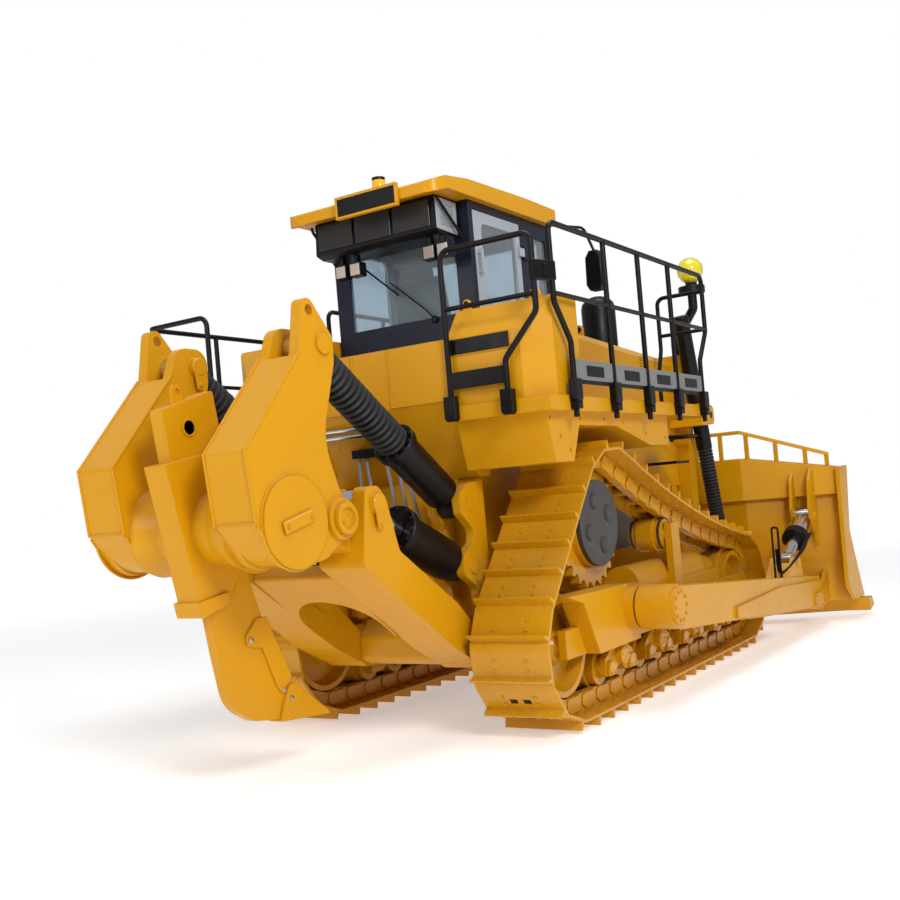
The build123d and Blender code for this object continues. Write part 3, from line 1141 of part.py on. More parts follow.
def door_window(inset, y0, y1):
    x0, x1 = DOOR_REAR_X + 130 + inset, DOOR_FRONT_X - 90 - inset
    z0, z1 = DOOR_WINDOW_FOOT_Z + inset, DOOR_WINDOW_TOP_Z - inset
    r = 60 - inset
    return prism([(x0, z0, r), (x1, z0, r), (x1, z1, r), (x0, z1, r)], "Y", y0, y1)


def door_glass():
    middle = -CAB_HALF + CAB_WALL / 2
    return door_window(GLASS_GAP, middle - PANE / 2, middle + PANE / 2)


def cab_glass():
    """Fixed panes: rear, front and one behind each door's hinge."""
    g = GLASS_GAP
    mid = CAB_WALL / 2
    top = WINDOW_TOP_Z - g
    panes = [
        box(CAB_REAR_X + mid - PANE / 2, CAB_REAR_X + mid + PANE / 2, -REAR_WINDOW_HALF + g,
            REAR_WINDOW_HALF - g,
            REAR_WINDOW_FOOT_Z + g, top),
        box(CAB_FRONT_X - mid - PANE / 2, CAB_FRONT_X - mid + PANE / 2, -FRONT_WINDOW_HALF + g,
            FRONT_WINDOW_HALF - g, WINDOW_FOOT_Z + g, top)]
    for side in (-1, 1):
        y = side * (CAB_HALF - mid)
        panes.append(box(SIDE_WINDOW_X0 + g, SIDE_WINDOW_X1 - g, y - PANE / 2, y + PANE / 2, WINDOW_FOOT_Z
                         + g, top))
    return panes


def cab_roof():
    """Thick roof, wider and longer than the cab, that thins and slopes down towards its ends."""
    z0, z1 = CAB_TOP_Z + SEAT, ROOF_TOP_Z
    side = [(ROOF_REAR_X, z0 - 55, 12), (ROOF_REAR_X, z1 - 120, 45), (-110, z1 - 66, 200),
            (260, z1 - 24, 400),
            (1300, z1, 600), (ROOF_FRONT_X, z1 - 8, 70), (ROOF_FRONT_X, z0 + 50, 30), (CAB_FRONT_X + 40, z0,
                                                                                       20),
            (AC_REAR_X - 7, z0, 20)]
    plan = [(x, y, ROOF_PLAN_R) for x, y in ((ROOF_REAR_X, -ROOF_HALF), (ROOF_FRONT_X, -ROOF_HALF),
                                             (ROOF_FRONT_X, ROOF_HALF), (ROOF_REAR_X, ROOF_HALF))]
    return prism(side, "Y", -ROOF_HALF, ROOF_HALF) & prism(plan, "Z", z0 - 60, z1 + 1)


def ac_unit():
    """Air-conditioning box on the rear of the cab, under the roof's overhang."""
    z1 = CAB_TOP_Z - 6
    return prism([(AC_REAR_X, AC_FOOT_Z + 30, 20), (AC_REAR_X + 20, z1), (CAB_REAR_X - SEAT, z1),
                  (CAB_REAR_X - SEAT, AC_FOOT_Z),
                  (AC_REAR_X + 90, AC_FOOT_Z, 20)], "Y", -AC_HALF, AC_HALF)


def cab_interior():
    """Seat on its box, console on each side and a dash."""
    floor = CAB_FLOOR_Z + CAB_WALL + SEAT
    x = CAB_REAR_X + 420
    seat = box(x, x + 420, -230, 230, floor, floor + 420)
    seat += prism([(x - 40, floor + 420 - 1), (x + 500, floor + 420 - 1), (x + 520, floor + 560, 50),
                   (x - 40, floor + 560)],
                  "Y", -270, 270)
    seat += prism([(x + 60, floor + 500), (x - 100, floor + 1250, 60), (x - 220, floor + 1230, 60),
                   (x - 80, floor + 500)],
                  "Y", -250, 250)
    seat += prism([(x - 105, floor + 1240), (x - 135, floor + 1400, 40), (x - 235, floor + 1390, 40),
                   (x - 215, floor + 1220)],
                  "Y", -150, 150)
    console = [box(x, x + 460, s * 400 - 80, s * 400 + 80, floor, floor + 620) for s in (-1, 1)]
    dash = box(CAB_FRONT_X - CAB_WALL - 300, CAB_FRONT_X - CAB_WALL - SEAT, -380, 380, floor, floor + 800)
    return [seat, *console, dash]


def work_lamps():
    """Square lamps hung below the air-conditioning box."""
    x, top = AC_REAR_X + 110, AC_FOOT_Z - 72
    lamps = []
    for y in LAMP_YS:
        lamp = box(x, x + 90, y - LAMP_HALF, y + LAMP_HALF, top - 2 * LAMP_HALF, top)
        stem_y = math.copysign(min(abs(y), AC_HALF - 25), y)
        lamps.append(lamp + box(x + 20, x + 70, stem_y - 20, stem_y + 20, top - 4, AC_FOOT_Z - SEAT))
    return lamps


def beacon():
    """Round lamp on a base that follows the roof's slope."""
    foot = ROOF_TOP_Z - 90
    base = rod((BEACON_X, 0, foot), (BEACON_X, 0, ROOF_TOP_Z + 30), 72) - Pos(0, 0, SEAT) * cab_roof()
    return base + rod((BEACON_X, 0, ROOF_TOP_Z + 29), (BEACON_X, 0, ROOF_TOP_Z + 140), 60)


def sign_frame():
    """Blank plate on the roof's rear edge."""
    x = ROOF_REAR_X - SEAT
    return box(x - SIGN_THICK, x, -440, 180, ROOF_TOP_Z - 250, ROOF_TOP_Z - 100)


def mirror_arm():
    """Mirror on a bent tube from the roof's front corner."""
    x, y, z = ROOF_FRONT_X, -ROOF_HALF, ROOF_TOP_Z - 65
    arm = tube_path([(x + SEAT, y + 200, z), (x + 200, y + 200, z), (x + 640, y + 60, z + 20),
                     (x + 700, y - 20, z - 250)], 15, 70)
    head = box(x + 640, x + 760, y - 60, y + 20, z - 640, z - 250)
    return arm + head


# ================================================================ rails, precleaner and steps
def side_rails(posts):
    """Guard rail along the walkway's edge with bent end posts, sockets, a mid rail, a toe board and a front return."""
    y = -DECK_OUT_Y - RAIL_TUBE_R - RAIL_OUT
    foot = DECK_Z - DECK_DEEP + 10
    r = RAIL_TUBE_R
    top, mid = RAIL_TOP_Z, RAIL_MID_Z
    x0, x1 = posts[0], posts[-1]
    rear, front = x0 - POST_KINK, x1 + POST_KINK
    rails = tube_path([(x0, y, foot + 60), (x0, y, 3180), (rear, y, 3480), (rear, y, top), (front, y, top),
                       (front, y, 3520), (x1, y, 3200), (x1, y, foot + 60)], r, 90)
    rails += rod((rear, y, mid), (front, y, mid), r - 4)
    for x in posts[1:-1]:
        rails += rod((x, y, foot + 60), (x, y, top), r)
    for x in posts:
        rails += box(x - 42, x + 42, y - 42, -DECK_OUT_Y - SEAT, foot, foot + SOCKET_HIGH)
    inner, low_x = CROSS_RAIL_Y, DECK_FRONT_X - 60
    rails += tube_path([(front, y, top - 160), (front, inner, top - 160), (front, inner, 3400),
                        (low_x, inner, 3120), (low_x, inner, DECK_Z + 10)], r - 2, 80)
    rails += rod((front, y, mid), (front, inner, mid), r - 4)
    rails += box(low_x - 45, low_x + 45, inner - 45, inner + 45, DECK_Z + SEAT, DECK_Z + 14)
    return rails + box(x0, x1, y - 6, y + 6, foot + SOCKET_HIGH + 10, foot + SOCKET_HIGH + TOE_HIGH + 10)


def rear_rail():
    """Hoop behind the side tank, with a mid rail and a kick plate."""
    x = DECK_REAR_X - RAIL_TUBE_R - RAIL_OUT
    foot = DECK_Z - DECK_DEEP
    y0, y1, out = REAR_RAIL_Y0, REAR_RAIL_Y1, REAR_RAIL_Y0 - REAR_RAIL_LEAN
    r = RAIL_TUBE_R
    rail = tube_path([(x, y0, foot + 40), (x, y0, 3060), (x, out, 3400), (x, out, REAR_RAIL_TOP_Z),
                      (x, y1, REAR_RAIL_TOP_Z), (x, y1, foot + 40)], r, 90)
    rail += rod((x, out, 3540), (x, y1, 3540), r - 4)
    for y in (y0, y1):
        rail += box(x - 42, DECK_REAR_X - SEAT, y - 38, y + 38, foot, foot + 200)
    return rail + box(x - 6, x + 6, y0, y1, foot + 260, foot + 260 + TOE_HIGH)


def platform():
    """Access platform beside the left track's rear half, with ribs below."""
    top, x0, x1 = DECK_Z, PLATFORM_REAR_X, PLATFORM_FRONT_X
    plan = [(x0, PLATFORM_IN_Y), (DECK_REAR_X + 1, PLATFORM_IN_Y), (DECK_REAR_X + 1, DECK_OUT_Y - 1),
            (x1, DECK_OUT_Y - 1),
            (x1, PLATFORM_OUT_Y), (x0, PLATFORM_OUT_Y)]
    floor = prism(plan, "Z", top - PLATFORM_DEEP, top)
    low = top - PLATFORM_DEEP + 1
    for x in (DECK_REAR_X + 200, (DECK_REAR_X + x1) / 2, x1 - 120):
        floor += prism([(SKIRT_OUT_Y - 5, low - PLATFORM_RIB), (SKIRT_OUT_Y - 5, low),
                        (PLATFORM_OUT_Y - 60, low),
                        (PLATFORM_OUT_Y - 60, low - 30)], "X", x - 15, x + 15)
    return floor


def platform_rails():
    """Rail round the platform: rear hoop, long side and front return, with a mid rail and corner sockets."""
    r = RAIL_TUBE_R
    x0, x1 = PLATFORM_REAR_X - r - RAIL_OUT, PLATFORM_FRONT_X + r + RAIL_OUT
    y0, y1, y2 = PLATFORM_IN_Y + 60, PLATFORM_OUT_Y + r + RAIL_OUT, DECK_OUT_Y + 90
    low = DECK_Z - PLATFORM_DEEP
    top, mid = PLATFORM_RAIL_Z, PLATFORM_MID_Z
    turn = y1 - 160
    rails = tube_path([(x0, y0, low + 40), (x0, y0, top), (x0, turn, top)], r, 90)
    rails += tube_path([(x0, turn, top), (x0, y1, top), (x1, y1, top), (x1, turn, top)], r, 90)
    rails += tube_path([(x1, turn, top), (x1, y2, top), (x1, y2, low + 40)], r, 90)
    rails += tube_path([(x0, y0, mid), (x0, y1, mid), (x1, y1, mid), (x1, y2, mid)], r - 4, 60)
    for x in (PLATFORM_REAR_X + 60, (PLATFORM_REAR_X + PLATFORM_FRONT_X) / 2, PLATFORM_FRONT_X - 60):
        rails += rod((x, y1, low + 40), (x, y1, top), r)
        rails += box(x - 42, x + 42, PLATFORM_OUT_Y + SEAT, y1 + 30, low, low + SOCKET_HIGH)
    rails += box(x0 - 30, PLATFORM_REAR_X - SEAT, y0 - 38, y0 + 38, low, low + SOCKET_HIGH)
    return rails + box(PLATFORM_FRONT_X + SEAT, x1 + 30, y2 - 38, y2 + 38, low, low + SOCKET_HIGH)


def precleaner():
    """Air intake on the nose's corner: a leaning stack with a wide cap and a round bowl."""
    x, y, z = STACK_X, -STACK_Y, STACK_CAP_Z
    foot = (NOSE_X - 80 - 50, -NOSE_HALF + 80, NOSE_TOP_Z + SEAT)
    knee = (NOSE_X - 80 - 50, -NOSE_HALF + 80, NOSE_TOP_Z + 170)
    stack = tube_path([foot, knee, (x, y, z - 220), (x, y, z)], 55, 80)
    stack += rod((x, y, z - 30), (x, y, z + 50), 160) + rod((x, y, z + 49), (x, y, z + 130), 70)
    return stack + Pos(x, y, z + 250) * Sphere(155)


def step_plate():
    """Step below the walkway's front end and the grab rail beside the nose."""
    y = -HOOD_HALF - SEAT
    step = box(STEP_X0, STEP_X0 + 400, y - 380, y, 2160, 2190)
    bar = tube_path([(GRAB_X0, y - 20, 2480), (GRAB_X0, y - 340, 2480), (GRAB_X1, y - 340, 2480),
                     (GRAB_X1, y - 20, 2480)], 20, 60)
    feet = [box(x - 40, x + 40, y - 24, y, 2440, 2520) for x in (GRAB_X0, GRAB_X1)]
    return [step, bar + feet[0] + feet[1]]


# ================================================================ write the nodes
def build():
    os.makedirs("parts", exist_ok=True)
    save_pair("track", track())
    save_pair("idlers", idler(REAR_AXLE_X), idler(FRONT_AXLE_X))
    save_pair("sprocket", sprocket())
    save_pair("final_drive", final_drive())
    save("drive_covers", drive_cover(), flipped(drive_cover()))
    save_pair("track_frame", track_frame())
    save_pair("track_rollers", *rollers(), carrier_roller())
    save_pair("bogies", *bogies())
    save_pair("push_arm", push_arm())
    save("blade", blade_body())
    save("cutting_edge", *cutting_edge())
    save("spill_guard", spill_guard())
    for name, maker in (("blade_tilt", tilt_cylinders), ("blade_lift", lift_cylinders),
                        ("ripper_pitch", ripper_pitch_cylinders), ("ripper_raise", ripper_raise_cylinders)):
        barrel, stem = maker()
        save(name + "_barrels", barrel, flipped(barrel))
        save(name + "_rods", stem, flipped(stem))
    save("ripper_beam", ripper_beam())
    save("ripper_shank", shank())
    save("ripper_tip", ripper_tip())
    save("ripper_shin", shin_guard())
    save("ripper_link", ripper_link())
    save("ripper_pins", ripper_pins(), flipped(ripper_pins()))
    save("ripper_ear_pins", ear_pins(), flipped(ear_pins()))
    save("main_frame", main_frame())
    save("rear_bracket", rear_bracket())
    save("engine_block", engine_block())
    save("hood", hood())
    save("radiator_guard", radiator_guard())
    save("front_grille", grille())
    save("fuel_tank", rear_tank())
    save("fender_right", fender())
    save("fender_left", flipped(fender()) + platform())
    save("cab_shell", cab_shell())
    save_pair("cab_door", cab_door())
    save_pair("door_glass", door_glass())
    save("cab_glass", *cab_glass())
    save("cab_roof", cab_roof())
    save("ac_unit", ac_unit())
    save("cab_interior", *cab_interior())
    save("work_lamps", *work_lamps())
    save("roof_fittings", beacon(), sign_frame(), mirror_arm())
    save("handrails_right", side_rails(RAIL_POSTS), rear_rail())
    save("handrails_left", flipped(side_rails(RAIL_POSTS[2:])), platform_rails())
    save("precleaner", precleaner())
    save("steps", *step_plate(), *[flipped(p) for p in step_plate()])


if __name__ == "__main__":
    build()
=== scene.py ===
"""Looks of a crawler bulldozer: finishes for every CAD node, and the bellows, hoses, bolts, plates and trim.

Lengths in the tables are millimetres from the machine's datum, which lies 7.1 m behind the tip of the blade's
corner bit.  place() turns them into metres in the shared frame.  Right-hand pieces have negative y.
"""

import math

import bpy
import numpy as np
from mathutils import Matrix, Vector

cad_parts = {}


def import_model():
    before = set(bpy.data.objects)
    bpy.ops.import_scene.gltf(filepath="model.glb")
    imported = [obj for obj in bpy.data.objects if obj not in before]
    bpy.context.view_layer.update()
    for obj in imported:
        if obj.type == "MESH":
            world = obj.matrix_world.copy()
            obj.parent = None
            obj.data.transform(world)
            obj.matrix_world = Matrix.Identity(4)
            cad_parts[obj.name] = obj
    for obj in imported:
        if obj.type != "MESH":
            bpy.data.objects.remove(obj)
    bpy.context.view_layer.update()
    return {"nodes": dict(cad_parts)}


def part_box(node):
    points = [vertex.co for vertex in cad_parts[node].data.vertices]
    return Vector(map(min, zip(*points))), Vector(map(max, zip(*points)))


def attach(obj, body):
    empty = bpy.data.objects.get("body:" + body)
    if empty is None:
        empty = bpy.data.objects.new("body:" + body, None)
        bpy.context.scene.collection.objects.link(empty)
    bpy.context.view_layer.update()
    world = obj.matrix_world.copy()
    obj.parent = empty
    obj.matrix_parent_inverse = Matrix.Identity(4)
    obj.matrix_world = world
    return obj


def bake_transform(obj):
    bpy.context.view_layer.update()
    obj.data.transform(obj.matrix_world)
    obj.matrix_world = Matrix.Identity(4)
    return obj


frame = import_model()

BIT_TIP_X = 7100.0
DATUM_X = BIT_TIP_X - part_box("cutting_edge")[1].x * 1000
SIDES = (-1, 1)
SIDE_NAMES = {-1: "right", 1: "left"}


# ================ surfaces
# A surface is (points, faces): an array of points in millimetres and a list of corner lists.

def joined(*surfaces):
    """One surface from several: later faces count on from the points before them."""
    points, faces, start = [], [], 0
    for some_points, some_faces in surfaces:
        points.append(some_points)
        faces += [tuple(int(i) + start for i in face) for face in some_faces]
        start += len(some_points)
    return np.concatenate(points), faces


def mirrored(surface):
    """The same surface on the other side: y changes sign and each face runs backwards."""
    points, faces = surface
    return points * (1, -1, 1), [tuple(reversed(face)) for face in faces]


def on_side(side, *parts):
    """One surface from right-hand parts, mirrored when the side is the left one."""
    surface = joined(*parts)
    return surface if side < 0 else mirrored(surface)


def both_sides(make):
    """The right and the left surface that make(side) gives, as one."""
    return joined(make(-1), make(1))


def grid_faces(rows, columns, close_rows, close_columns):
    """Four-sided faces of a rows by columns grid of points, wrapped round where asked."""
    r = np.arange(rows if close_rows else rows - 1)
    c = np.arange(columns if close_columns else columns - 1)
    r, c = [a.ravel() for a in np.meshgrid(r, c, indexing="ij")]
    r1, c1 = (r + 1) % rows, (c + 1) % columns
    corners = np.stack([r * columns + c, r * columns + c1, r1 * columns + c1, r1 * columns + c], 1)
    return [tuple(face) for face in corners.tolist()]


def unit(v):
    v = np.asarray(v, float)
    return v / np.linalg.norm(v, axis=-1, keepdims=True)


def cross_axes(direction):
    """Two unit arrows square to each direction: the first is direction x (the least aligned of X and Z)."""
    d = unit(np.atleast_2d(direction))
    other = np.where(np.abs(d[:, 2:3]) > 0.9, (1.0, 0, 0), (0, 0, 1.0))
    a = unit(np.cross(d, other))
    return a, np.cross(d, a)


def lathe(profile, origin, direction, sides=32):
    """Turned surface: a point of the profile at (radius r, height h) goes to
    origin + h * axis + r * (cos t * a + sin t * b), for t once round.  The ends are closed."""
    profile = np.asarray(profile, float)
    a, b = cross_axes(direction)
    axis = unit(direction)
    t = np.arange(sides) * 2 * math.pi / sides
    ring = np.cos(t)[:, None] * a + np.sin(t)[:, None] * b
    points = (np.asarray(origin, float) + profile[:, 1, None, None] * axis
              + profile[:, 0, None, None] * ring[None])
    faces = grid_faces(len(profile), sides, False, True)
    last = (len(profile) - 1) * sides
    faces += [tuple(range(sides))[::-1], tuple(range(last, last + sides))]
    return points.reshape(-1, 3), faces


def smooth_line(points, count):
    """Curve through the points: a cubic between neighbours whose slope at each point is half the
    step from the point before to the point after, sampled at equal shares of the table's length."""
    p = np.asarray(points, float)
    ends = np.concatenate([[2 * p[0] - p[1]], p, [2 * p[-1] - p[-2]]])
    slope = (ends[2:] - ends[:-2]) / 2
    reach = np.concatenate([[0], np.cumsum(np.linalg.norm(np.diff(p, axis=0), axis=1))])
    at = np.interp(np.linspace(0, reach[-1], count), reach, np.arange(len(p)))
    k = np.minimum(at.astype(int), len(p) - 2)
    s = (at - k)[:, None]
    return ((2 * s**3 - 3 * s**2 + 1) * p[k] + (s**3 - 2 * s**2 + s) * slope[k]
            + (3 * s**2 - 2 * s**3) * p[k + 1] + (s**3 - s**2) * slope[k + 1])


def rounded_line(points, radius, steps=7):
    """Straight runs whose corners are rounded: each corner becomes a parabola between the points
    that lie radius before and after it."""
    p = np.asarray(points, float)
    before = unit(p[:-2] - p[1:-1]) * radius
    after = unit(p[2:] - p[1:-1]) * radius
    t = np.linspace(0, 1, steps)[None, :, None]
    corner = (p[1:-1, None] + (1 - t) ** 2 * before[:, None] + t**2 * after[:, None]).reshape(-1, 3)
    return np.concatenate([p[:1], corner, p[-1:]])


def carried(profile, line, up=(0, 1, 0), closed=False, scale=1.0):
    """Flat profile carried along a line: a profile point (u, v) goes to line + u * side + v * up',
    where side is the heading x up and up' is side x heading.  scale may change along the line."""
    line = np.asarray(line, float)
    profile = np.asarray(profile, float)
    if closed:
        heading = unit(np.roll(line, -1, 0) - np.roll(line, 1, 0))
    else:
        heading = unit(np.gradient(line, axis=0))
    side = unit(np.cross(heading, up))
    rise = np.cross(side, heading)
    scale = np.broadcast_to(np.asarray(scale, float), len(line))[:, None, None]
    points = (line[:, None] + scale * (profile[None, :, :1] * side[:, None]
                                       + profile[None, :, 1:] * rise[:, None]))
    count = len(profile)
    faces = grid_faces(len(line), count, closed, True)
    if not closed:
        last = (len(line) - 1) * count
        faces += [tuple(range(count))[::-1], tuple(range(last, last + count))]
    return points.reshape(-1, 3), faces


def circle(radius, sides=12):
    t = np.arange(sides) * 2 * math.pi / sides
    return np.stack([radius * np.cos(t), radius * np.sin(t)], 1)


def tube(points, radius, bend=None, sides=12, up=(0, 1, 0), count=40):
    """Round bar or hose: straight runs with rounded corners when bend is given, else a smooth curve."""
    line = rounded_line(points, bend) if bend else smooth_line(points, count)
    return carried(circle(radius, sides), line, up)


PLANES = {"X": (1, 2, 0), "Y": (0, 2, 1), "Z": (0, 1, 2)}


def plate(outline, along, start, end, edge=0.0):
    """Flat outline (u, v) pushed along an axis, with both rims drawn in by the edge's width:
    four rings of points, at start, start + edge, end - edge and end."""
    outline = np.asarray(outline, float)
    before, after = np.roll(outline, 1, 0), np.roll(outline, -1, 0)
    turn = np.sum(outline[:, 0] * after[:, 1] - after[:, 0] * outline[:, 1])
    inward = lambda step: np.stack([-step[:, 1], step[:, 0]], 1) * np.sign(turn)
    n0, n1 = inward(unit(outline - before)), inward(unit(after - outline))
    draw = (n0 + n1) / np.maximum(1 + np.sum(n0 * n1, 1, keepdims=True), 0.3)
    low, high = min(start, end), max(start, end)
    levels = [(low, edge), (low + edge, 0), (high - edge, 0), (high, edge)] if edge else [(low, 0), (high, 0)]
    u, v, w = PLANES[along]
    count = len(outline)
    points = np.zeros((len(levels), count, 3))
    for k, (level, inset) in enumerate(levels):
        flat = outline + draw * inset
        points[k, :, u], points[k, :, v], points[k, :, w] = flat[:, 0], flat[:, 1], level
    faces = grid_faces(len(levels), count, False, True)
    last = (len(levels) - 1) * count
    faces += [tuple(range(count))[::-1], tuple(range(last, last + count))]
    if (turn > 0) == (along == "Y"):
        faces = [tuple(reversed(face)) for face in faces]
    return points.reshape(-1, 3), faces


def slab(x0, x1, y0, y1, z0, z1, edge=3.0):
    """Flat-sided block with drawn-in rims."""
    return plate([(x0, z0), (x1, z0), (x1, z1), (x0, z1)], "Y", y0, y1, edge)


def copies(surface, centres, outs, ups=None):
    """The surface, made round the origin with +Z outwards, set at each centre facing its own way."""
    points, faces = surface
    outs = unit(np.broadcast_to(np.atleast_2d(outs), (len(centres), 3)))
    if ups is None:
        a, b = cross_axes(outs)
    else:
        a = unit(np.broadcast_to(np.atleast_2d(ups), outs.shape))
        b = np.cross(outs, a)
    turns = np.stack([a, b, outs], 1)
    placed = np.asarray(centres, float)[:, None] + np.einsum("pk,nkj->npj", points, turns)
    starts = np.arange(len(centres)) * len(points)
    every = [tuple(i + int(s) for i in face) for s in starts for face in faces]
    return placed.reshape(-1, 3), every


def upright(profile, sides):
    """Turned surface on the origin with +Z outwards, ready for copies."""
    return lathe(profile, (0, 0, 0), (0, 0, 1), sides)


def bolt(size, round_head=False):
    """Bolt head on its washer: turned profile with six sides above, or a low dome for a round head."""
    if round_head:
        return upright([(size, 0), (size * 0.95, size * 0.4), (size * 0.6, size * 0.62)], 8)
    washer = upright([(size * 1.25, 0), (size * 1.25, size * 0.2)], 12)
    head = upright([(size, size * 0.2), (size, size * 0.75), (size * 0.8, size * 0.95)], 6)
    return joined(washer, head)


def bolts(centres, out, size, round_head=False):
    return copies(bolt(size, round_head), np.asarray(centres, float), out)


def ring_of(x, z, y, radius, count, start=0.0):
    """Points at equal steps on a circle that faces sideways."""
    t = start + np.arange(count) * 2 * math.pi / count
    return np.stack([x + radius * np.cos(t), np.full(count, float(y)), z + radius * np.sin(t)], 1)


def bead(points, size=9.0, closed=False, up=(0, 1, 0)):
    """Weld seam: a thin rounded bar along the line where two plates meet."""
    line = np.asarray(points, float)
    return carried(circle(size, 8), line, up, closed)


def place(points):
    """Millimetres from the datum to metres in the shared frame."""
    return (np.asarray(points, float) - (DATUM_X, 0, 0)) / 1000.0


def piece(name, surface, material, body, smooth=40.0):
    """Mesh object at the origin with its place in its mesh; edges sharper than the angle stay sharp."""
    points, faces = surface
    mesh = bpy.data.meshes.new(name)
    mesh.from_pydata(place(points).tolist(), [], faces)
    mesh.validate()
    mesh.shade_smooth()
    mesh.set_sharp_from_angle(angle=math.radians(smooth))
    thing = bpy.data.objects.new(name, mesh)
    bpy.context.scene.collection.objects.link(thing)
    mesh.materials.append(material)
    if body:
        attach(thing, body)
    return thing


# ================ finishes
class Sheet:
    """Node tree with short calls: add a node with its values, and link sockets by name."""

    def __init__(self, tree):
        self.tree = tree

    def add(self, kind, **values):
        node = self.tree.nodes.new(kind)
        for name, value in values.items():
            if hasattr(node, name):
                setattr(node, name, value)
        return node

    def link(self, source, out, target, into):
        self.tree.links.new(source.outputs[out], target.inputs[into])

    def math(self, operation, first, second=None, clamp=False):
        """Maths node; each side is a number or a (node, socket) pair."""
        node = self.add("ShaderNodeMath", operation=operation, use_clamp=clamp)
        for k, value in enumerate((first, second)):
            if isinstance(value, tuple):
                self.link(value[0], value[1], node, k)
            elif value is not None:
                node.inputs[k].default_value = value
        return node, 0

    def noise(self, vector, scale, detail=3.0):
        node = self.add("ShaderNodeTexNoise")
        node.inputs["Scale"].default_value = scale
        node.inputs["Detail"].default_value = detail
        self.link(vector[0], vector[1], node, "Vector")
        return node, "Fac"

    def spread(self, value, low, high, to_low=0.0, to_high=1.0):
        """Map Range from low..high to to_low..to_high, held at the ends."""
        node = self.add("ShaderNodeMapRange")
        self.link(value[0], value[1], node, "Value")
        for name, number in (("From Min", low), ("From Max", high), ("To Min", to_low), ("To Max", to_high)):
            node.inputs[name].default_value = number
        return node, "Result"

    def mix(self, share, first, second):
        """Colour between two; each is a colour or a (node, socket) pair."""
        node = self.add("ShaderNodeMix", data_type="RGBA")
        self.link(share[0], share[1], node, 0)
        for name, value in ((6, first), (7, second)):
            if isinstance(value[0], bpy.types.Node):
                self.link(value[0], value[1], node, name)
            else:
                node.inputs[name].default_value = (*value, 1)
        return node, 2


def sockets(tree, ins, outs):
    for direction, rows in (("INPUT", ins), ("OUTPUT", outs)):
        for name, kind, value in rows:
            socket = tree.interface.new_socket(name=name, in_out=direction, socket_type="NodeSocket" + kind)
            if value is not None:
                socket.default_value = value


def enamel_group():
    """Sprayed enamel: broad tone drift, fine orange-peel height, a pale layer on faces turned up that is
    partly dust and partly a painted highlight of the top faces, and rougher patches."""
    tree = bpy.data.node_groups.new("sprayed_enamel", "ShaderNodeTree")
    sockets(tree, [("Paint", "Color", (0.8, 0.4, 0.02, 1)), ("Dust and Sheen", "Color", (0.6, 0.5, 0.4, 1)),
                   ("Dust and Sheen Amount", "Float", 0.2), ("Gloss", "Float", 0.3), ("Drift", "Float", 0.1)],
            [("Color", "Color", None), ("Roughness", "Float", None), ("Height", "Float", None)])
    s = Sheet(tree)
    into, out = s.add("NodeGroupInput"), s.add("NodeGroupOutput")
    at = (s.add("ShaderNodeTexCoord"), "Object")
    broad = s.noise(at, 1.3, 4)
    fine = s.noise(at, 9.0, 6)
    peel = s.noise(at, 160.0, 2)
    shade = s.add("ShaderNodeHueSaturation")
    s.link(into, "Paint", shade, "Color")
    drift = s.math("MULTIPLY", s.spread(broad, 0.3, 0.7, -1, 1), (into, "Drift"))
    s.link(*s.math("ADD", 1.0, drift), shade, "Value")
    lean = s.add("ShaderNodeSeparateXYZ")
    s.link(s.add("ShaderNodeNewGeometry"), "Normal", lean, 0)
    # Faces turned up go pale: partly dust that lies there, partly a painted highlight of the top faces.
    up_face_dust_and_sheen = s.math("MULTIPLY", s.spread((lean, 2), 0.35, 1.0), s.spread(fine, 0.3, 0.7, 0.55, 1.0))
    dust_and_sheen = s.math("MULTIPLY", up_face_dust_and_sheen, (into, "Dust and Sheen Amount"), True)
    colour = s.mix(dust_and_sheen, (shade, 0), (into, "Dust and Sheen"))
    s.link(*colour, out, "Color")
    rough = s.math("ADD", (into, "Gloss"), s.spread(fine, 0.3, 0.7, -0.05, 0.08))
    s.link(*s.math("ADD", rough, s.math("MULTIPLY", dust_and_sheen, 0.25), True), out, "Roughness")
    s.link(*s.math("ADD", s.math("MULTIPLY", peel, 0.15), s.math("MULTIPLY", broad, 0.85)), out, "Height")
    return tree


def cast_group():
    """Cast or rubber skin: coarse and fine pits as height, and a slight tone change with them."""
    tree = bpy.data.node_groups.new("pitted_skin", "ShaderNodeTree")
    sockets(tree, [("Tone", "Color", (0.05, 0.05, 0.05, 1)), ("Pale", "Color", (0.1, 0.1, 0.1, 1)),
                   ("Grain", "Float", 60.0)],
            [("Color", "Color", None), ("Roughness", "Float", None), ("Height", "Float", None)])
    s = Sheet(tree)
    into, out = s.add("NodeGroupInput"), s.add("NodeGroupOutput")
    at = (s.add("ShaderNodeTexCoord"), "Object")
    grain = s.noise(at, 60.0, 5)
    s.link(into, "Grain", grain[0], "Scale")
    patches = s.noise(at, 3.0, 4)
    s.link(*s.mix(s.spread(patches, 0.35, 0.75), (into, "Tone"), (into, "Pale")), out, "Color")
    s.link(*s.spread(patches, 0.3, 0.7, 0.45, 0.62), out, "Roughness")
    s.link(*grain, out, "Height")
    return tree


ENAMEL = enamel_group()
PITTED = cast_group()
RELIEF_DEPTH = 0.002


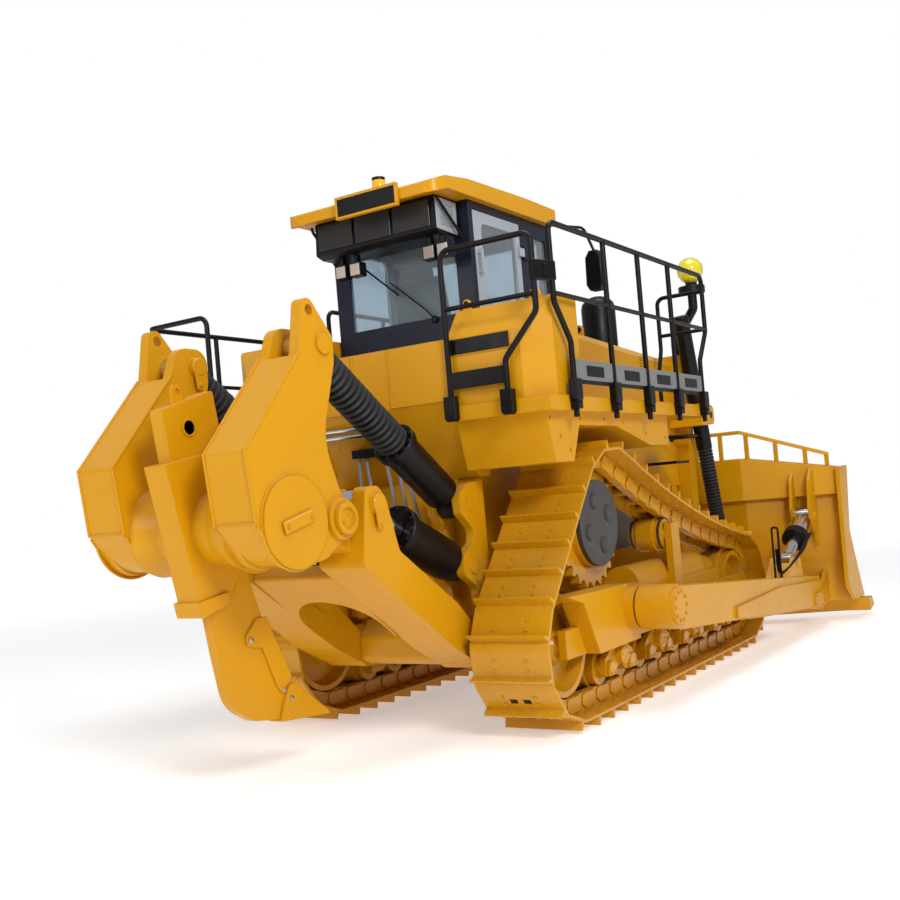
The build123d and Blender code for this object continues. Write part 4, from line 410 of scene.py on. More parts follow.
def finish_from(name, group, inputs, bump, bevel=0.0, **shader):
    """Material whose colour, roughness and height come from a group; constant values sit on the shader."""
    material = bpy.data.materials.new(name)
    material.use_nodes = True
    s = Sheet(material.node_tree)
    body = material.node_tree.nodes["Principled BSDF"]
    for socket, value in shader.items():
        body.inputs[socket.replace("_", " ")].default_value = value
    box = s.add("ShaderNodeGroup")
    box.node_tree = group
    for socket, value in inputs.items():
        box.inputs[socket].default_value = (*value, 1) if isinstance(value, tuple) else value
    relief = s.add("ShaderNodeBump")
    relief.inputs["Strength"].default_value = bump
    relief.inputs["Distance"].default_value = RELIEF_DEPTH
    if bevel:
        rim = s.add("ShaderNodeBevel", samples=4)
        rim.inputs["Radius"].default_value = bevel
        s.link(rim, "Normal", relief, "Normal")
    s.link(box, "Height", relief, "Height")
    s.link(relief, "Normal", body, "Normal")
    s.link(box, "Color", body, "Base Color")
    s.link(box, "Roughness", body, "Roughness")
    return material


def enamel(name, paint, dust_and_sheen_colour, dust_and_sheen_amount, gloss, drift, bump, bevel=0.0, **shader):
    """Sprayed finish from its paint, its dust and painted top-face highlight and how much lies, its gloss and
    tone drift.
    """
    inputs = {"Paint": paint, "Dust and Sheen": dust_and_sheen_colour, "Dust and Sheen Amount": dust_and_sheen_amount, "Gloss": gloss, "Drift": drift}
    return finish_from(name, ENAMEL, inputs, bump, bevel, **shader)


def pitted(name, tone, pale, grain, bump, **shader):
    """Cast, woven or rubber finish from its two tones and the fineness of its grain."""
    return finish_from(name, PITTED, {"Tone": tone, "Pale": pale, "Grain": grain}, bump, **shader)


# Pale colours that faces turned up go towards: partly dust, partly a painted highlight.
DUST_AND_SHEEN = (0.66, 0.47, 0.24)
PALE_DUST_AND_SHEEN = (0.5, 0.5, 0.5)
yellow = enamel("golden_enamel", (0.60, 0.276, 0.002), DUST_AND_SHEEN, 0.22, 0.36, 0.03, 0.02, 0.012,
                Specular_IOR_Level=0.22, Coat_Weight=0.05, Coat_Roughness=0.15)
undercarriage_yellow = enamel("undercarriage_enamel", (0.57, 0.264, 0.002), DUST_AND_SHEEN, 0.08, 0.24, 0.06, 0.05,
                              0.008, Specular_IOR_Level=0.4)
black = enamel("black_enamel", (0.003, 0.0025, 0.003), (0.03, 0.027, 0.025), 0.15, 0.38, 0.2, 0.04, 0.006,
               Specular_IOR_Level=0.22)
dark_grey = enamel("dark_grey_enamel", (0.038, 0.034, 0.033), (0.14, 0.12, 0.1), 0.2, 0.42, 0.12, 0.10, 0.006)
navy = enamel("navy_enamel", (0.007, 0.009, 0.022), (0.10, 0.11, 0.14), 0.2, 0.32, 0.15, 0.06, 0.008,
              Specular_IOR_Level=0.25, Coat_Weight=0.04, Coat_Roughness=0.15)
cab_grey = enamel("cab_grey_enamel", (0.34, 0.38, 0.42), PALE_DUST_AND_SHEEN, 0.1, 0.36, 0.05, 0.06, 0.006,
                  Coat_Weight=0.2)
plate_grey = enamel("toe_board_grey", (0.17, 0.165, 0.17), (0.3, 0.29, 0.28), 0.2, 0.45, 0.08, 0.08)
chrome = enamel("hard_chrome", (0.62, 0.63, 0.66), PALE_DUST_AND_SHEEN, 0.05, 0.13, 0.04, 0.02, Metallic=1.0)
steel = enamel("machined_steel", (0.42, 0.42, 0.43), (0.4, 0.36, 0.3), 0.2, 0.32, 0.1, 0.1, Metallic=1.0)
rubber = pitted("bellows_rubber", (0.010, 0.009, 0.010), (0.022, 0.022, 0.026), 90.0, 0.15)
cast = pitted("cast_iron_skin", (0.10, 0.10, 0.10), (0.16, 0.15, 0.14), 120.0, 0.4, Metallic=0.4)
sleeve = pitted("woven_sleeve", (0.16, 0.17, 0.19), (0.30, 0.31, 0.33), 220.0, 0.5)
trim = pitted("cab_trim", (0.03, 0.03, 0.033), (0.05, 0.05, 0.055), 150.0, 0.3)
amber = enamel("amber_lens", (0.85, 0.42, 0.01), (0.9, 0.5, 0.1), 0.0, 0.1, 0.05, 0.02,
               Coat_Weight=0.6, Emission_Strength=0.15, Emission_Color=(1, 0.55, 0.0, 1))
bowl_yellow = enamel("bowl_plastic", (0.72, 0.60, 0.02), (0.9, 0.85, 0.5), 0.1, 0.12, 0.3, 0.03,
                     Coat_Weight=0.7)
lens = enamel("lamp_lens", (0.42, 0.35, 0.30), (0.6, 0.55, 0.5), 0.1, 0.2, 0.4, 0.05, Coat_Weight=0.3)


def glass_finish():
    """Tinted pane: mostly clear, mirror-like at a slant, with a faint film as roughness."""
    material = bpy.data.materials.new("cab_window_glass")
    material.use_nodes = True
    s = Sheet(material.node_tree)
    body = material.node_tree.nodes["Principled BSDF"]
    for socket, value in (("Transmission Weight", 0.88), ("IOR", 1.45), ("Metallic", 0.0),
                          ("Specular IOR Level", 0.6)):
        body.inputs[socket].default_value = value
    at = (s.add("ShaderNodeTexCoord"), "Object")
    film = s.noise(at, 5.0, 4)
    s.link(*s.mix(s.spread(film, 0.3, 0.7), (0.56, 0.66, 0.74), (0.62, 0.72, 0.78)), body, "Base Color")
    s.link(*s.spread(film, 0.3, 0.7, 0.015, 0.05), body, "Roughness")
    return material


glass = glass_finish()


def mesh_finish():
    """Dark wire mesh: a fine square weave as height and tone on Object coordinates."""
    material = bpy.data.materials.new("condenser_mesh")
    material.use_nodes = True
    s = Sheet(material.node_tree)
    body = material.node_tree.nodes["Principled BSDF"]
    body.inputs["Coat Weight"].default_value = 0.15
    body.inputs["Coat Roughness"].default_value = 0.1
    body.inputs["Specular IOR Level"].default_value = 0.2
    at = s.add("ShaderNodeTexCoord")
    split = s.add("ShaderNodeSeparateXYZ")
    s.link(at, "Object", split, 0)
    waves = [s.math("ABSOLUTE", s.math("SINE", s.math("MULTIPLY", (split, k), 260.0))) for k in (1, 2)]
    wire = s.math("MAXIMUM", *waves)
    gap, strand = (0.004, 0.004, 0.005), (0.035, 0.031, 0.031)
    s.link(*s.mix(s.spread(wire, 0.7, 0.95), gap, strand), body, "Base Color")
    s.link(*s.spread(wire, 0.6, 0.95, 0.3, 0.5), body, "Roughness")
    relief = s.add("ShaderNodeBump")
    relief.inputs["Strength"].default_value = 0.35
    relief.inputs["Distance"].default_value = 0.003
    s.link(*wire, relief, "Height")
    s.link(relief, "Normal", body, "Normal")
    return material


mesh_black = mesh_finish()

# ---------------- finishes of the CAD nodes
NODE_FINISH = {
    "track": undercarriage_yellow, "idlers": undercarriage_yellow, "sprocket": undercarriage_yellow,
    "track_rollers": undercarriage_yellow, "bogies": undercarriage_yellow, "drive_covers": dark_grey,
    "blade_tilt_barrels": chrome, "blade_tilt_rods": chrome, "blade_lift_barrels": black,
    "blade_lift_rods": chrome, "ripper_pitch_barrels": black, "ripper_pitch_rods": chrome,
    "ripper_raise_barrels": black, "ripper_raise_rods": chrome, "engine_block": cast,
    "front_grille": black, "door_glass": glass, "cab_glass": glass, "cab_shell": navy, "cab_door": cab_grey,
    "ac_unit": black, "cab_interior": trim, "work_lamps": black, "roof_fittings": black, "handrails": black,
    "precleaner": black, "steps": black,
}
for name, thing in frame["nodes"].items():
    base = name.removesuffix("_right").removesuffix("_left")
    thing.data.materials.clear()
    thing.data.materials.append(NODE_FINISH.get(base, yellow))


# ================ track line
SHOE_PITCH = 280.0
TRACK_Y, RAIL_Y = 1274.0, 130.0     # middle of a track, and of its two link rails from there
OUTER_HEIGHT = 99.0     # shoe plate's outer face over the pins
AXLE_Z, PIN_R = 680.0, 509.0
SPROCKET_X, SPROCKET_Z, SPROCKET_PIN_R = 1056.0, 1654.0, 581.0
ARC_STEPS, RUN_STEPS = 60, 120
WHEELS = (      # x, z, radius of the pins' path, sag of the run after it
    (131.0, AXLE_Z, PIN_R, 0.0), (4500.0, AXLE_Z, PIN_R, 125.0),
    (SPROCKET_X, SPROCKET_Z, SPROCKET_PIN_R, 0.0))


def track_pins():
    """Pins at equal steps round the belt: arcs on the three wheels and, between them, straight runs
    of which one sags by dip = 4 * sag * s * (1 - s)."""
    x, z, r, sag = np.array(WHEELS).T
    nx, nz, nr = np.roll(x, -1), np.roll(z, -1), np.roll(r, -1)
    heading = np.arctan2(nz - z, nx - x) - np.arcsin((nr - r) / np.hypot(nx - x, nz - z))
    runs = []
    for k in range(len(WHEELS)):
        start = heading[k - 1]
        turn = (heading[k] - start) % (2 * math.pi)
        t = start + turn * np.arange(ARC_STEPS) / ARC_STEPS
        runs.append(np.stack([x[k] + r[k] * np.sin(t), z[k] - r[k] * np.cos(t)], 1))
        h, s = heading[k], np.arange(RUN_STEPS) / RUN_STEPS
        dip = 4 * sag[k] * s * (1 - s)
        a = np.array([x[k] + r[k] * math.sin(h), z[k] - r[k] * math.cos(h)])
        b = np.array([nx[k] + nr[k] * math.sin(h), nz[k] - nr[k] * math.cos(h)])
        runs.append(a + (b - a) * s[:, None] + dip[:, None] * np.array([-math.sin(h), math.cos(h)]))
    line = np.concatenate(runs)
    line = np.concatenate([line, line[:1]])
    reach = np.concatenate([[0], np.cumsum(np.linalg.norm(np.diff(line, axis=0), axis=1))])
    count = round(reach[-1] / SHOE_PITCH)
    at = reach[-1] * np.arange(count) / count
    return np.stack([np.interp(at, reach, line[:, 0]), np.interp(at, reach, line[:, 1])], 1)


pins = track_pins()
steps = np.roll(pins, -1, 0) - pins
ahead = unit(steps)
outward = np.stack([ahead[:, 1], -ahead[:, 0]], 1)


def on_shoes(share, y, height):
    """A point on every shoe: a share of its pitch along it, at one y, and a height over the pins."""
    spot = pins + steps * share + outward * height
    return np.stack([spot[:, 0], np.full(len(spot), float(y)), spot[:, 1]], 1)


LINK_PROFILE = [(-105, -58), (-60, -70), (105, -70), (140, -30), (105, 58), (-60, 62), (-120, 20)]
LINK_FACE = 42.0        # a rail's middle to the face where its link plates sit
shoe_out = np.stack([outward[:, 0], np.zeros(len(pins)), outward[:, 1]], 1)
shoe_ahead = np.stack([ahead[:, 0], np.zeros(len(pins)), ahead[:, 1]], 1)
for side in SIDES:
    spots = [on_shoes(share, side * TRACK_Y + dy, OUTER_HEIGHT)
             for share in (0.28, 0.58) for dy in (-RAIL_Y - 18, RAIL_Y + 18)]
    heads = bolts(np.concatenate(spots), np.concatenate([shoe_out] * 4), 17.0, True)
    piece(f"shoe_bolts_{SIDE_NAMES[side]}", heads, undercarriage_yellow, "root")
    link = plate(LINK_PROFILE, "Z", -8, 8, 4)
    links = [copies(link, on_shoes(0.5, side * TRACK_Y + rail + dy, 0.0), (0, 1, 0), shoe_ahead)
             for rail in (-RAIL_Y, RAIL_Y) for dy in (-LINK_FACE, LINK_FACE)]
    piece(f"track_links_{SIDE_NAMES[side]}", joined(*links), undercarriage_yellow, "root")
    bush = upright([(38, -RAIL_Y + 30), (38, RAIL_Y - 30)], 12)
    bushes = copies(bush, on_shoes(0.0, side * TRACK_Y, 0.0), (0, 1, 0))
    piece(f"track_bushings_{SIDE_NAMES[side]}", bushes, undercarriage_yellow, "root")


def shoe_slots(side):
    """Pairs of relief slots in the shoes round the rear idler, as dark inserts: painted shade in the slots.
    """
    near = (pins[:, 0] < 300) & (pins[:, 1] < 620)
    slot = plate([(-24, -34), (24, -34), (24, 34), (-24, 34)], "Z", -1.0, 1.5, 0)
    spots = [on_shoes(0.47, side * TRACK_Y + dy, OUTER_HEIGHT)[near] for dy in (-62, 62)]
    outs, ups = (np.concatenate([way[near]] * 2) for way in (shoe_out, shoe_ahead))
    return copies(slot, np.concatenate(spots), outs, ups)


piece("shoe_slots", both_sides(shoe_slots), black, "root")


# ================ cylinders
RIPPER_Y, LIFT_Y, ARM_Y = 626.0, 1010.0, 1932.5


def bellows(a, b, first, last, low, high, rib):
    """Ribbed sleeve round a rod: the radius goes low, high, high, low over each rib's length."""
    count = max(3, round((last - first) / rib))
    s = first + (last - first) * (np.arange(count)[:, None] + np.array([0.0, 0.16, 0.62, 0.84])) / count
    r = np.broadcast_to([low, high, high * 0.985, low * 1.02], s.shape)
    profile = np.stack([r.ravel(), s.ravel()], 1)
    profile = np.concatenate([[(low * 0.8, first)], profile, [(low * 0.8, last)]])
    return lathe(profile, a, np.asarray(b, float) - np.asarray(a, float), 28)


EAR, TOP = (-100.0, 1930.0), (-1866.0, 3150.0)
LOW_EAR, LUG = (-110.0, 1400.0), (-1443.0, 1998.0)
YOKE, LIFT_EYE = (5000.0, 2730.0), (5480.0, 1000.0)


def at_y(point, y):
    """The point (x, z) at one y."""
    return (point[0], y, point[1])


def stroke_sleeve(name, base, eye, y, share, before, radii, rib):
    """Bellows from the barrel's gland to the rod's eye."""
    length = math.dist(base, eye)
    first, last = length * share + 3, length - before
    surface = both_sides(lambda s: bellows(at_y(base, s * y), at_y(eye, s * y), first, last, *radii, rib))
    thing = piece(name, surface, rubber, None, 50)
    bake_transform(thing)


PITCH_SHARE, RAISE_SHARE, TILT_SHARE = 0.44, 0.64, 0.53     # barrel's length over the pin distance
LIFT_BARREL = 400.0                                         # the lift barrel's length below its yoke
stroke_sleeve("ripper_pitch_bellows", EAR, TOP, RIPPER_Y, PITCH_SHARE, 150, (92, 140), 58)
stroke_sleeve("blade_lift_bellows", YOKE, LIFT_EYE, LIFT_Y, LIFT_BARREL / math.dist(YOKE, LIFT_EYE), 130,
              (72, 92), 42)


def gland(base, eye, y, distance, radius, width, count, size):
    """Gland ring at the barrel's end with bolt heads round its rim."""
    a, b = at_y(base, y), at_y(eye, y)
    way = unit(np.subtract(b, a))
    start = distance - width
    rim = lathe([(radius * 0.7, start), (radius, start), (radius + 8, start + 8), (radius + 8, distance - 8),
                 (radius, distance), (radius * 0.6, distance)], a, way, 40)
    p, q = cross_axes(way)
    t = np.arange(count)[:, None] * 2 * math.pi / count
    centres = np.asarray(a) + way * distance + (radius - size * 1.4) * (np.cos(t) * p + np.sin(t) * q)
    return joined(rim, bolts(centres, way, size))


PITCH_END = math.dist(EAR, TOP) * PITCH_SHARE
RAISE_END = math.dist(LOW_EAR, LUG) * RAISE_SHARE
TILT_PIN, TILT_EYE = (5925.0, 1370.0), (4970.0, 890.0)
TILT_END = math.dist(TILT_PIN, TILT_EYE) * TILT_SHARE
for name, base, eye, y, sizes, body in (
        ("ripper_pitch_glands", EAR, TOP, RIPPER_Y, (PITCH_END, 172, 70, 12, 14), "pitch_barrels"),
        ("ripper_raise_glands", LOW_EAR, LUG, RIPPER_Y, (RAISE_END, 196, 80, 12, 15), "raise_barrels"),
        ("blade_tilt_glands", TILT_PIN, TILT_EYE, ARM_Y, (TILT_END + 4, 146, 120, 10, 13), "tilt_barrels")):
    piece(name, both_sides(lambda side: gland(base, eye, side * y, *sizes)), black, body)


# ================ undercarriage details
ARM_FACE = -2090.0              # outer face of the push arm
COVER_Y = -TRACK_Y - 156        # outer face of the final drive's cover


def drive_cover_rings(side):
    """Raised ring round each of the four bosses on the end cover."""
    profile = [(58, 0), (62, 10), (74, 10), (78, 0)]
    spots = ring_of(SPROCKET_X, SPROCKET_Z, COVER_Y, 215, 4, math.radians(20))
    return on_side(side, *[lathe(profile, spot, (0, -1, 0), 28) for spot in spots])


piece("drive_cover_rings", both_sides(drive_cover_rings), dark_grey, "root")

ROLLER_X = np.linspace(775.0, 3850.0, 8)
ROLLER_Z = 396.0
HUB_FACE = -TRACK_Y - 321.0


def roller_caps(side):
    """Bolt circles on the bogies' round caps and a seat block with two bolts on each roller's end."""
    pieces = []
    for a, b in zip(ROLLER_X[::2], ROLLER_X[1::2]):
        middle = (a + b) / 2
        cap = lathe([(88, 0), (88, 8), (78, 16), (34, 16), (30, 10), (0.5, 10)],
                    (middle, HUB_FACE, ROLLER_Z + 85), (0, -1, 0), 28)
        pieces.append(cap)
        pieces.append(bolts(ring_of(middle, ROLLER_Z + 85, HUB_FACE - 14, 58, 6), (0, -1, 0), 9))
        for x in (a, b):
            end = plate([(x - 62, ROLLER_Z - 66), (x + 62, ROLLER_Z - 66), (x + 62, ROLLER_Z + 22),
                         (x + 34, ROLLER_Z + 58), (x - 34, ROLLER_Z + 58), (x - 62, ROLLER_Z + 22)],
                        "Y", HUB_FACE + 14, HUB_FACE + 52, 6)
            pieces.append(end)
            pieces.append(bolts([(x + dx, HUB_FACE + 14, ROLLER_Z - 44) for dx in (-36, 36)], (0, -1, 0), 11))
    return on_side(side, *pieces)


piece("roller_caps", both_sides(roller_caps), undercarriage_yellow, "root")


def carrier_grooves(side):
    """Dark bands at the two treads of the carrier roller: painted shade in place of its grooves."""
    x, z, radius, tread = 2543.0, 1440.8, 150.0, 148.0
    bands = [lathe([(radius, -16), (radius + 1.5, -14), (radius + 1.5, 14), (radius, 16)],
                   (x, -TRACK_Y + dy, z), (0, 1, 0), 40) for dy in (-tread, tread)]
    return on_side(side, *bands)


piece("carrier_grooves", both_sides(carrier_grooves), dark_grey, "root")


TRUNNION = (1085.0, 885.0)


def arm_details(side):
    """Weld seams round the arm's pad and its bolted trunnion flange."""
    y = ARM_FACE
    parts = [bolts(ring_of(*TRUNNION, y - 40, 128, 10), (0, -1, 0), 14)]
    parts.append(bead([(2600, y - 22, 665), (4110, y - 22, 690), (5800, y - 22, 580)], 8))
    parts.append(bead([(2600, y - 22, 560), (2600, y - 22, 665)], 8, up=(0, 1, 0)))
    parts.append(bolts([(5450, y - 48, 330), (5450, y - 48, 430), (5760, y - 48, 330), (5760, y - 48, 430)],
                       (0, -1, 0), 10))
    return on_side(side, *parts)


piece("push_arm_seams", both_sides(arm_details), yellow, "push_arms")


def hose_guide(side):
    """Tall narrow loop of flat bar on the arm that guides the tilt cylinder's hoses."""
    y = -ARM_Y - 60
    loop = tube([(4560, y, 700), (4560, y, 1330), (4560, y + 70, 1330), (4560, y + 70, 700)], 13, 30, 10,
                up=(1, 0, 0))
    foot = slab(4520, 4600, y - 20, y + 90, 690, 730, 4)
    out = -ARM_Y - 192
    hoses = [tube([(4575, y + 20 + k * 22, 1080), (4640, y + 10 + k * 22, 800), (4880, out - k * 26, 1000),
                   (5250, out - k * 26, 1150), (5400, out - k * 26, 1190)], 12, None, 10) for k in range(2)]
    return on_side(side, loop, foot, *hoses)


piece("tilt_hose_guides", both_sides(hose_guide), black, "push_arms")


# ================ ripper details
BOX_OUT = -806.0
TUBE, BEAM_PIN = (-2306.0, 1918.0), (-1830.0, 1910.0)


def ripper_box_details(side):
    """Two-bolt bar on the end disc, rim seams on the box and bolts on the pin keepers."""
    y = BOX_OUT
    tilt = math.radians(14)
    bar = np.array([(-155, -45), (155, -45), (155, 45), (-155, 45)], float)
    turn = np.array([(math.cos(tilt), math.sin(tilt)), (-math.sin(tilt), math.cos(tilt))])
    spots = bar @ turn + TUBE
    parts = [plate(spots, "Y", y - 56, y - 26, 12)]
    screws = np.array([(-120, 0), (120, 0)], float) @ turn + TUBE
    parts.append(bolts([(x, y - 56, z) for x, z in screws], (0, -1, 0), 14))
    pin_end = (BEAM_PIN[0], y - 40, BEAM_PIN[1])
    parts.append(lathe([(81, 0), (81, 16), (0.5, 16)], pin_end, (0, -1, 0), 32))
    parts.append(bolts([(BEAM_PIN[0] + d, y - 56, BEAM_PIN[1] + d) for d in (-25, 25)], (0, -1, 0), 8))
    for at in (y - 2, y + 362):
        parts.append(bead([(-2677, at, 1927), (-2730, at, 2402), (-2123, at, 3073)], 11))
    parts.append(bead([(-2680, y, 1940), (-2680, y + 360, 1940)], 6, up=(1, 0, 0)))
    parts.append(bead(ring_of(*TUBE, y - 2, 322, 64), 10, True))
    parts.append(lathe([(78, 0), (104, 0), (112, 8), (112, 40), (104, 46), (82, 46), (78, 40), (78, 0)],
                       pin_end, (0, -1, 0), 36))
    for at in (y - 2, y + 362):
        foot = rounded_line([(-2130, at, 1629), (-2450, at, 1600), (-2665, at, 1912)], 280, 11)
        parts.append(bead(foot, 11))
    return on_side(side, *parts)


piece("ripper_box_seams", both_sides(ripper_box_details), yellow, "ripper_beam")


# ================ rails and boards
RAIL_LINE_Y, POSTS = -1764.0, (120.0, 900.0, 1650.0, 2400.0, 3110.0)


def posts_on(side):
    """Where the rail's posts stand: the left rail starts at the third."""
    return POSTS if side < 0 else POSTS[2:]


def toe_boards(side):
    """Grey boards between the posts."""
    posts = posts_on(side)
    return on_side(side, *[slab(a + 40, b - 40, RAIL_LINE_Y - 14, RAIL_LINE_Y + 12, 2868, 3034, 4)
                           for a, b in zip(posts[:-1], posts[1:])])


def blank_plates(side):
    """Bare dark plates on the toe boards."""
    posts, half = posts_on(side), 165
    middles = [(a + b) / 2 for a, b in zip(posts[:-1], posts[1:])]
    return on_side(side, *[slab(x - half, x + half, RAIL_LINE_Y - 18, RAIL_LINE_Y - 14, 2900, 2990, 1)
                           for x in middles])


piece("toe_boards", both_sides(toe_boards), plate_grey, "root")
piece("toe_board_plates", both_sides(blank_plates), black, "root")


def socket_bolts(side):
    """Socket block at each post's foot, with two bolts in its face and a round stub under it."""
    parts = []
    for x in posts_on(side):
        parts.append(bolts([(x - 20, -1806, 2680), (x + 20, -1806, 2680)], (0, -1, 0), 9))
        parts.append(lathe([(24, 0), (24, 60), (16, 66)], (x, RAIL_LINE_Y, 2625), (0, 0, -1), 16))
        parts.append(slab(x - 62, x + 62, RAIL_LINE_Y - 46, RAIL_LINE_Y + 27, 2700, 2872, 10))
    return on_side(side, *parts)


piece("rail_socket_bolts", both_sides(socket_bolts), black, "root")
REAR_POSTS_Y = (-1373.0, -830.0)
piece("rear_rail_sockets", joined(*[slab(-335, -262, y - 58, y + 58, 2630, 2820, 10) for y in REAR_POSTS_Y],
                                  bolts([(-336, y + dy, 2660) for y in REAR_POSTS_Y for dy in (-24, 24)],
                                        (-1, 0, 0), 11)), black, "root")


# ================ cab details
def air_box_panels():
    """Three mesh panels on the air-conditioning box's rear face."""
    return joined(*[slab(-62, -52, y - 195, y + 195, 4330, 4560, 3) for y in (-420.0, 0.0, 420.0)])


piece("air_box_mesh", air_box_panels(), mesh_black, "root")


def air_box_louvres(side):
    """Grey side panel of the air-conditioning box with pressed louvres."""
    y = -662.0
    parts = [plate([(-30, 4305), (290, 4290), (300, 4575), (-30, 4580)], "Y", y - 6, y, 2)]
    for k in range(9):
        z = 4345 + 22 * k
        parts.append(plate([(30, z), (230, z), (230, z + 12), (30, z + 12)], "Y", y - 16, y - 6, 3))
    return on_side(side, *parts)


piece("air_box_louvres", both_sides(air_box_louvres), cab_grey, "root")


def lamp_lenses():
    """Square lens on each of the four work lamps."""
    return joined(*[plate([(y - 52, 4084), (y + 52, 4084), (y + 52, 4188), (y - 52, 4188)], "X", 50, 57, 3)
                    for y in (-645.0, -500.0, 315.0, 480.0)])


piece("work_lamp_lenses", lamp_lenses(), lens, "root")
piece("beacon_lens", lathe([(62, 4806), (62, 4876), (54, 4902), (30, 4908), (0.5, 4909)],
                           (100, 0, 0), (0, 0, 1), 32), amber, "root")


def frame_of(x, y0, y1, z0, z1, wide, thick):
    """Four bars round an upright plate that faces the rear."""
    bars = ((y0 - wide, y1 + wide, z0 - wide, z0), (y0 - wide, y1 + wide, z1, z1 + wide),
            (y0 - wide, y0, z0, z1), (y1, y1 + wide, z0, z1))
    return joined(*[slab(x - thick, x, *bar, 3) for bar in bars])


piece("roof_sign_border", frame_of(-264.5, -440.0, 180.0, 4520.0, 4670.0, 22.0, 44.0),
      yellow, "root")
piece("tank_sign", slab(-238, -230.5, -1390, -812, 3165, 3292, 2), black, "root")
piece("tank_sign_border", frame_of(-230.5, -1390.0, -812.0, 3165.0, 3292.0, 8.0, 10.0),
      yellow, "root")
piece("precleaner_bowl", lathe([(0.5, 4352), (70, 4358), (120, 4400), (150, 4455), (158, 4510), (150, 4570),
                                (110, 4626), (60, 4656), (0.5, 4667)], (4920, -1090, 0), (0, 0, 1), 36),
      bowl_yellow, "root")


def wiper():
    """Arm and blade of the rear window's wiper."""
    x = 326.0
    arm = tube([(x, -330, 3600), (x - 14, -250, 3700), (x - 14, 120, 4010)], 8, 40, 8, up=(1, 0, 0))
    blade = tube([(x - 8, 40, 3880), (x - 8, 380, 4170)], 9, None, 6, up=(1, 0, 0), count=6)
    hub = lathe([(34, 0), (34, 22), (20, 30)], (334, -330, 3600), (-1, 0, 0), 20)
    return joined(arm, blade, hub)


piece("rear_wiper", wiper(), black, "root")


# ================ pins, hoses and small fittings
def pin_keeper(x, z, y, radius, way, tail):
    """Round cap on a pin's end with a bolted tail that hangs down."""
    cap = lathe([(radius, 0), (radius, 14), (radius - 10, 24), (0.5, 24)], (x, y, z), (0, way, 0), 36)
    y0, y1 = sorted((y, y + way * 20))
    wide = radius * 0.75
    strap = plate([(x - wide, z - 20), (x + wide, z - 20), (x + 30, z - tail), (x - 30, z - tail)],
                  "Y", y0, y1, 5)
    lock = bolts([(x, y + way * 20, z - tail + 34)], (0, way, 0), 15)
    return joined(cap, strap, lock)


for name, keeper, body in (("lug_pin_keepers", (*TOP, -424, 70, 1, 175), "ripper_beam"),
                           ("link_pin_keepers", (*LUG, -860, 72, -1, 190), "ripper_link")):
    surface = both_sides(lambda side: on_side(side, pin_keeper(*keeper)))
    piece(name, surface, yellow, body)

WEAR_PINS = ((-2040, 60, 1085, 22), (-1738, 60, 668, 18), (-1665, 65, 590, 20))     # x, y, z, radius
piece("shank_wear_pins", joined(*[lathe([(r, 0), (r, 8), (r - 5, 12), (0.5, 12)],
                                        (x, side * y, z), (0, side, 0), 24)
                                  for side in SIDES for x, y, z, r in WEAR_PINS]),
      steel, "ripper_beam")
piece("shank_pin_rims", joined(*[lathe([(48, 0), (50, 9), (62, 9), (66, 0)],
                                       (-2470, side * 62, 2630), (0, side, 0), 32)
                                 for side in SIDES]), yellow, "ripper_beam")
MIRROR_OUTLINE = [(-955, 4110), (-915, 4050), (-795, 4050), (-760, 4110), (-768, 4400), (-815, 4470),
                  (-905, 4470), (-948, 4400)]
piece("mirror_shell", plate(MIRROR_OUTLINE, "X", 2632, 2785, 14), black, "root")

MANIFOLD_Z = 2440.0


def hose_run(y, lean, drop):
    """Sleeved hose that hangs from the manifold and turns in under the hull."""
    return tube([(-95, y, MANIFOLD_Z - 30), (-100, y, MANIFOLD_Z - 130), (-90, y + lean * 0.4, 2150),
                 (-60, y + lean, drop), (60, y + lean, drop - 160)], 17, None, 10, up=(0, 1, 0))


piece("hull_hoses", joined(*[hose_run(y, lean, drop) for y, lean, drop in (
    (330.0, 20.0, 1800.0), (240.0, -30.0, 1750.0), (20.0, -40.0, 1780.0), (-85.0, -60.0, 1800.0),
    (-170.0, -70.0, 1850.0))]), sleeve, "root")
piece("hull_manifold", joined(slab(-150, -30, -215, 375, MANIFOLD_Z - 30, MANIFOLD_Z + 45, 8),
                              slab(-262, -190, -40, 60, 2560, 2700, 8)), black, "root")
piece("hull_hard_lines", joined(*[tube([(back, 700, z + 8), (-215, 640, z + 4), (-225, 20, z)],
                                       19, 30, 12, up=(0, 0, 1))
                                  for back, z in ((-180, 2664), (-200, 2602))]),
      chrome, "root")


def rail_joint():
    """Clamp that ties the rear hoop's outer post to the side rail, with two bolts."""
    body = plate([(-322, -1672), (-338, -1712), (-112, -1800), (-88, -1744)], "Z", 3640, 3800, 8)
    return joined(body, bolts([(-218, -1762, 3685), (-218, -1762, 3755)], unit((-0.36, -0.93, 0)), 15))


piece("rail_joint", rail_joint(), black, "root")
piece("air_box_strut", joined(*[tube([(-50, side * 690, 4570), (-30, side * 700, 4540),
                                      (300, side * 715, 4262)], 14, 20, 10) for side in SIDES]),
      black, "root")


def lifting_eye(x, y, z, radius):
    """Flat upright eye: an arch-topped plate across the machine with a round hole's rim."""
    t = np.radians(np.linspace(0, 180, 13))
    outline = [(y + radius * math.cos(a), z + radius * math.sin(a)) for a in t]
    outline += [(y - radius, z - radius * 1.5), (y + radius, z - radius * 1.5)]
    body = plate(outline, "X", x - 12, x + 12, 5)
    rim = lathe([(radius * 0.62, -17), (radius * 0.62, 17), (radius * 0.40, 17), (radius * 0.40, -17),
                 (radius * 0.62, -17)], (x, y, z), (1, 0, 0), 24)
    return joined(body, rim)


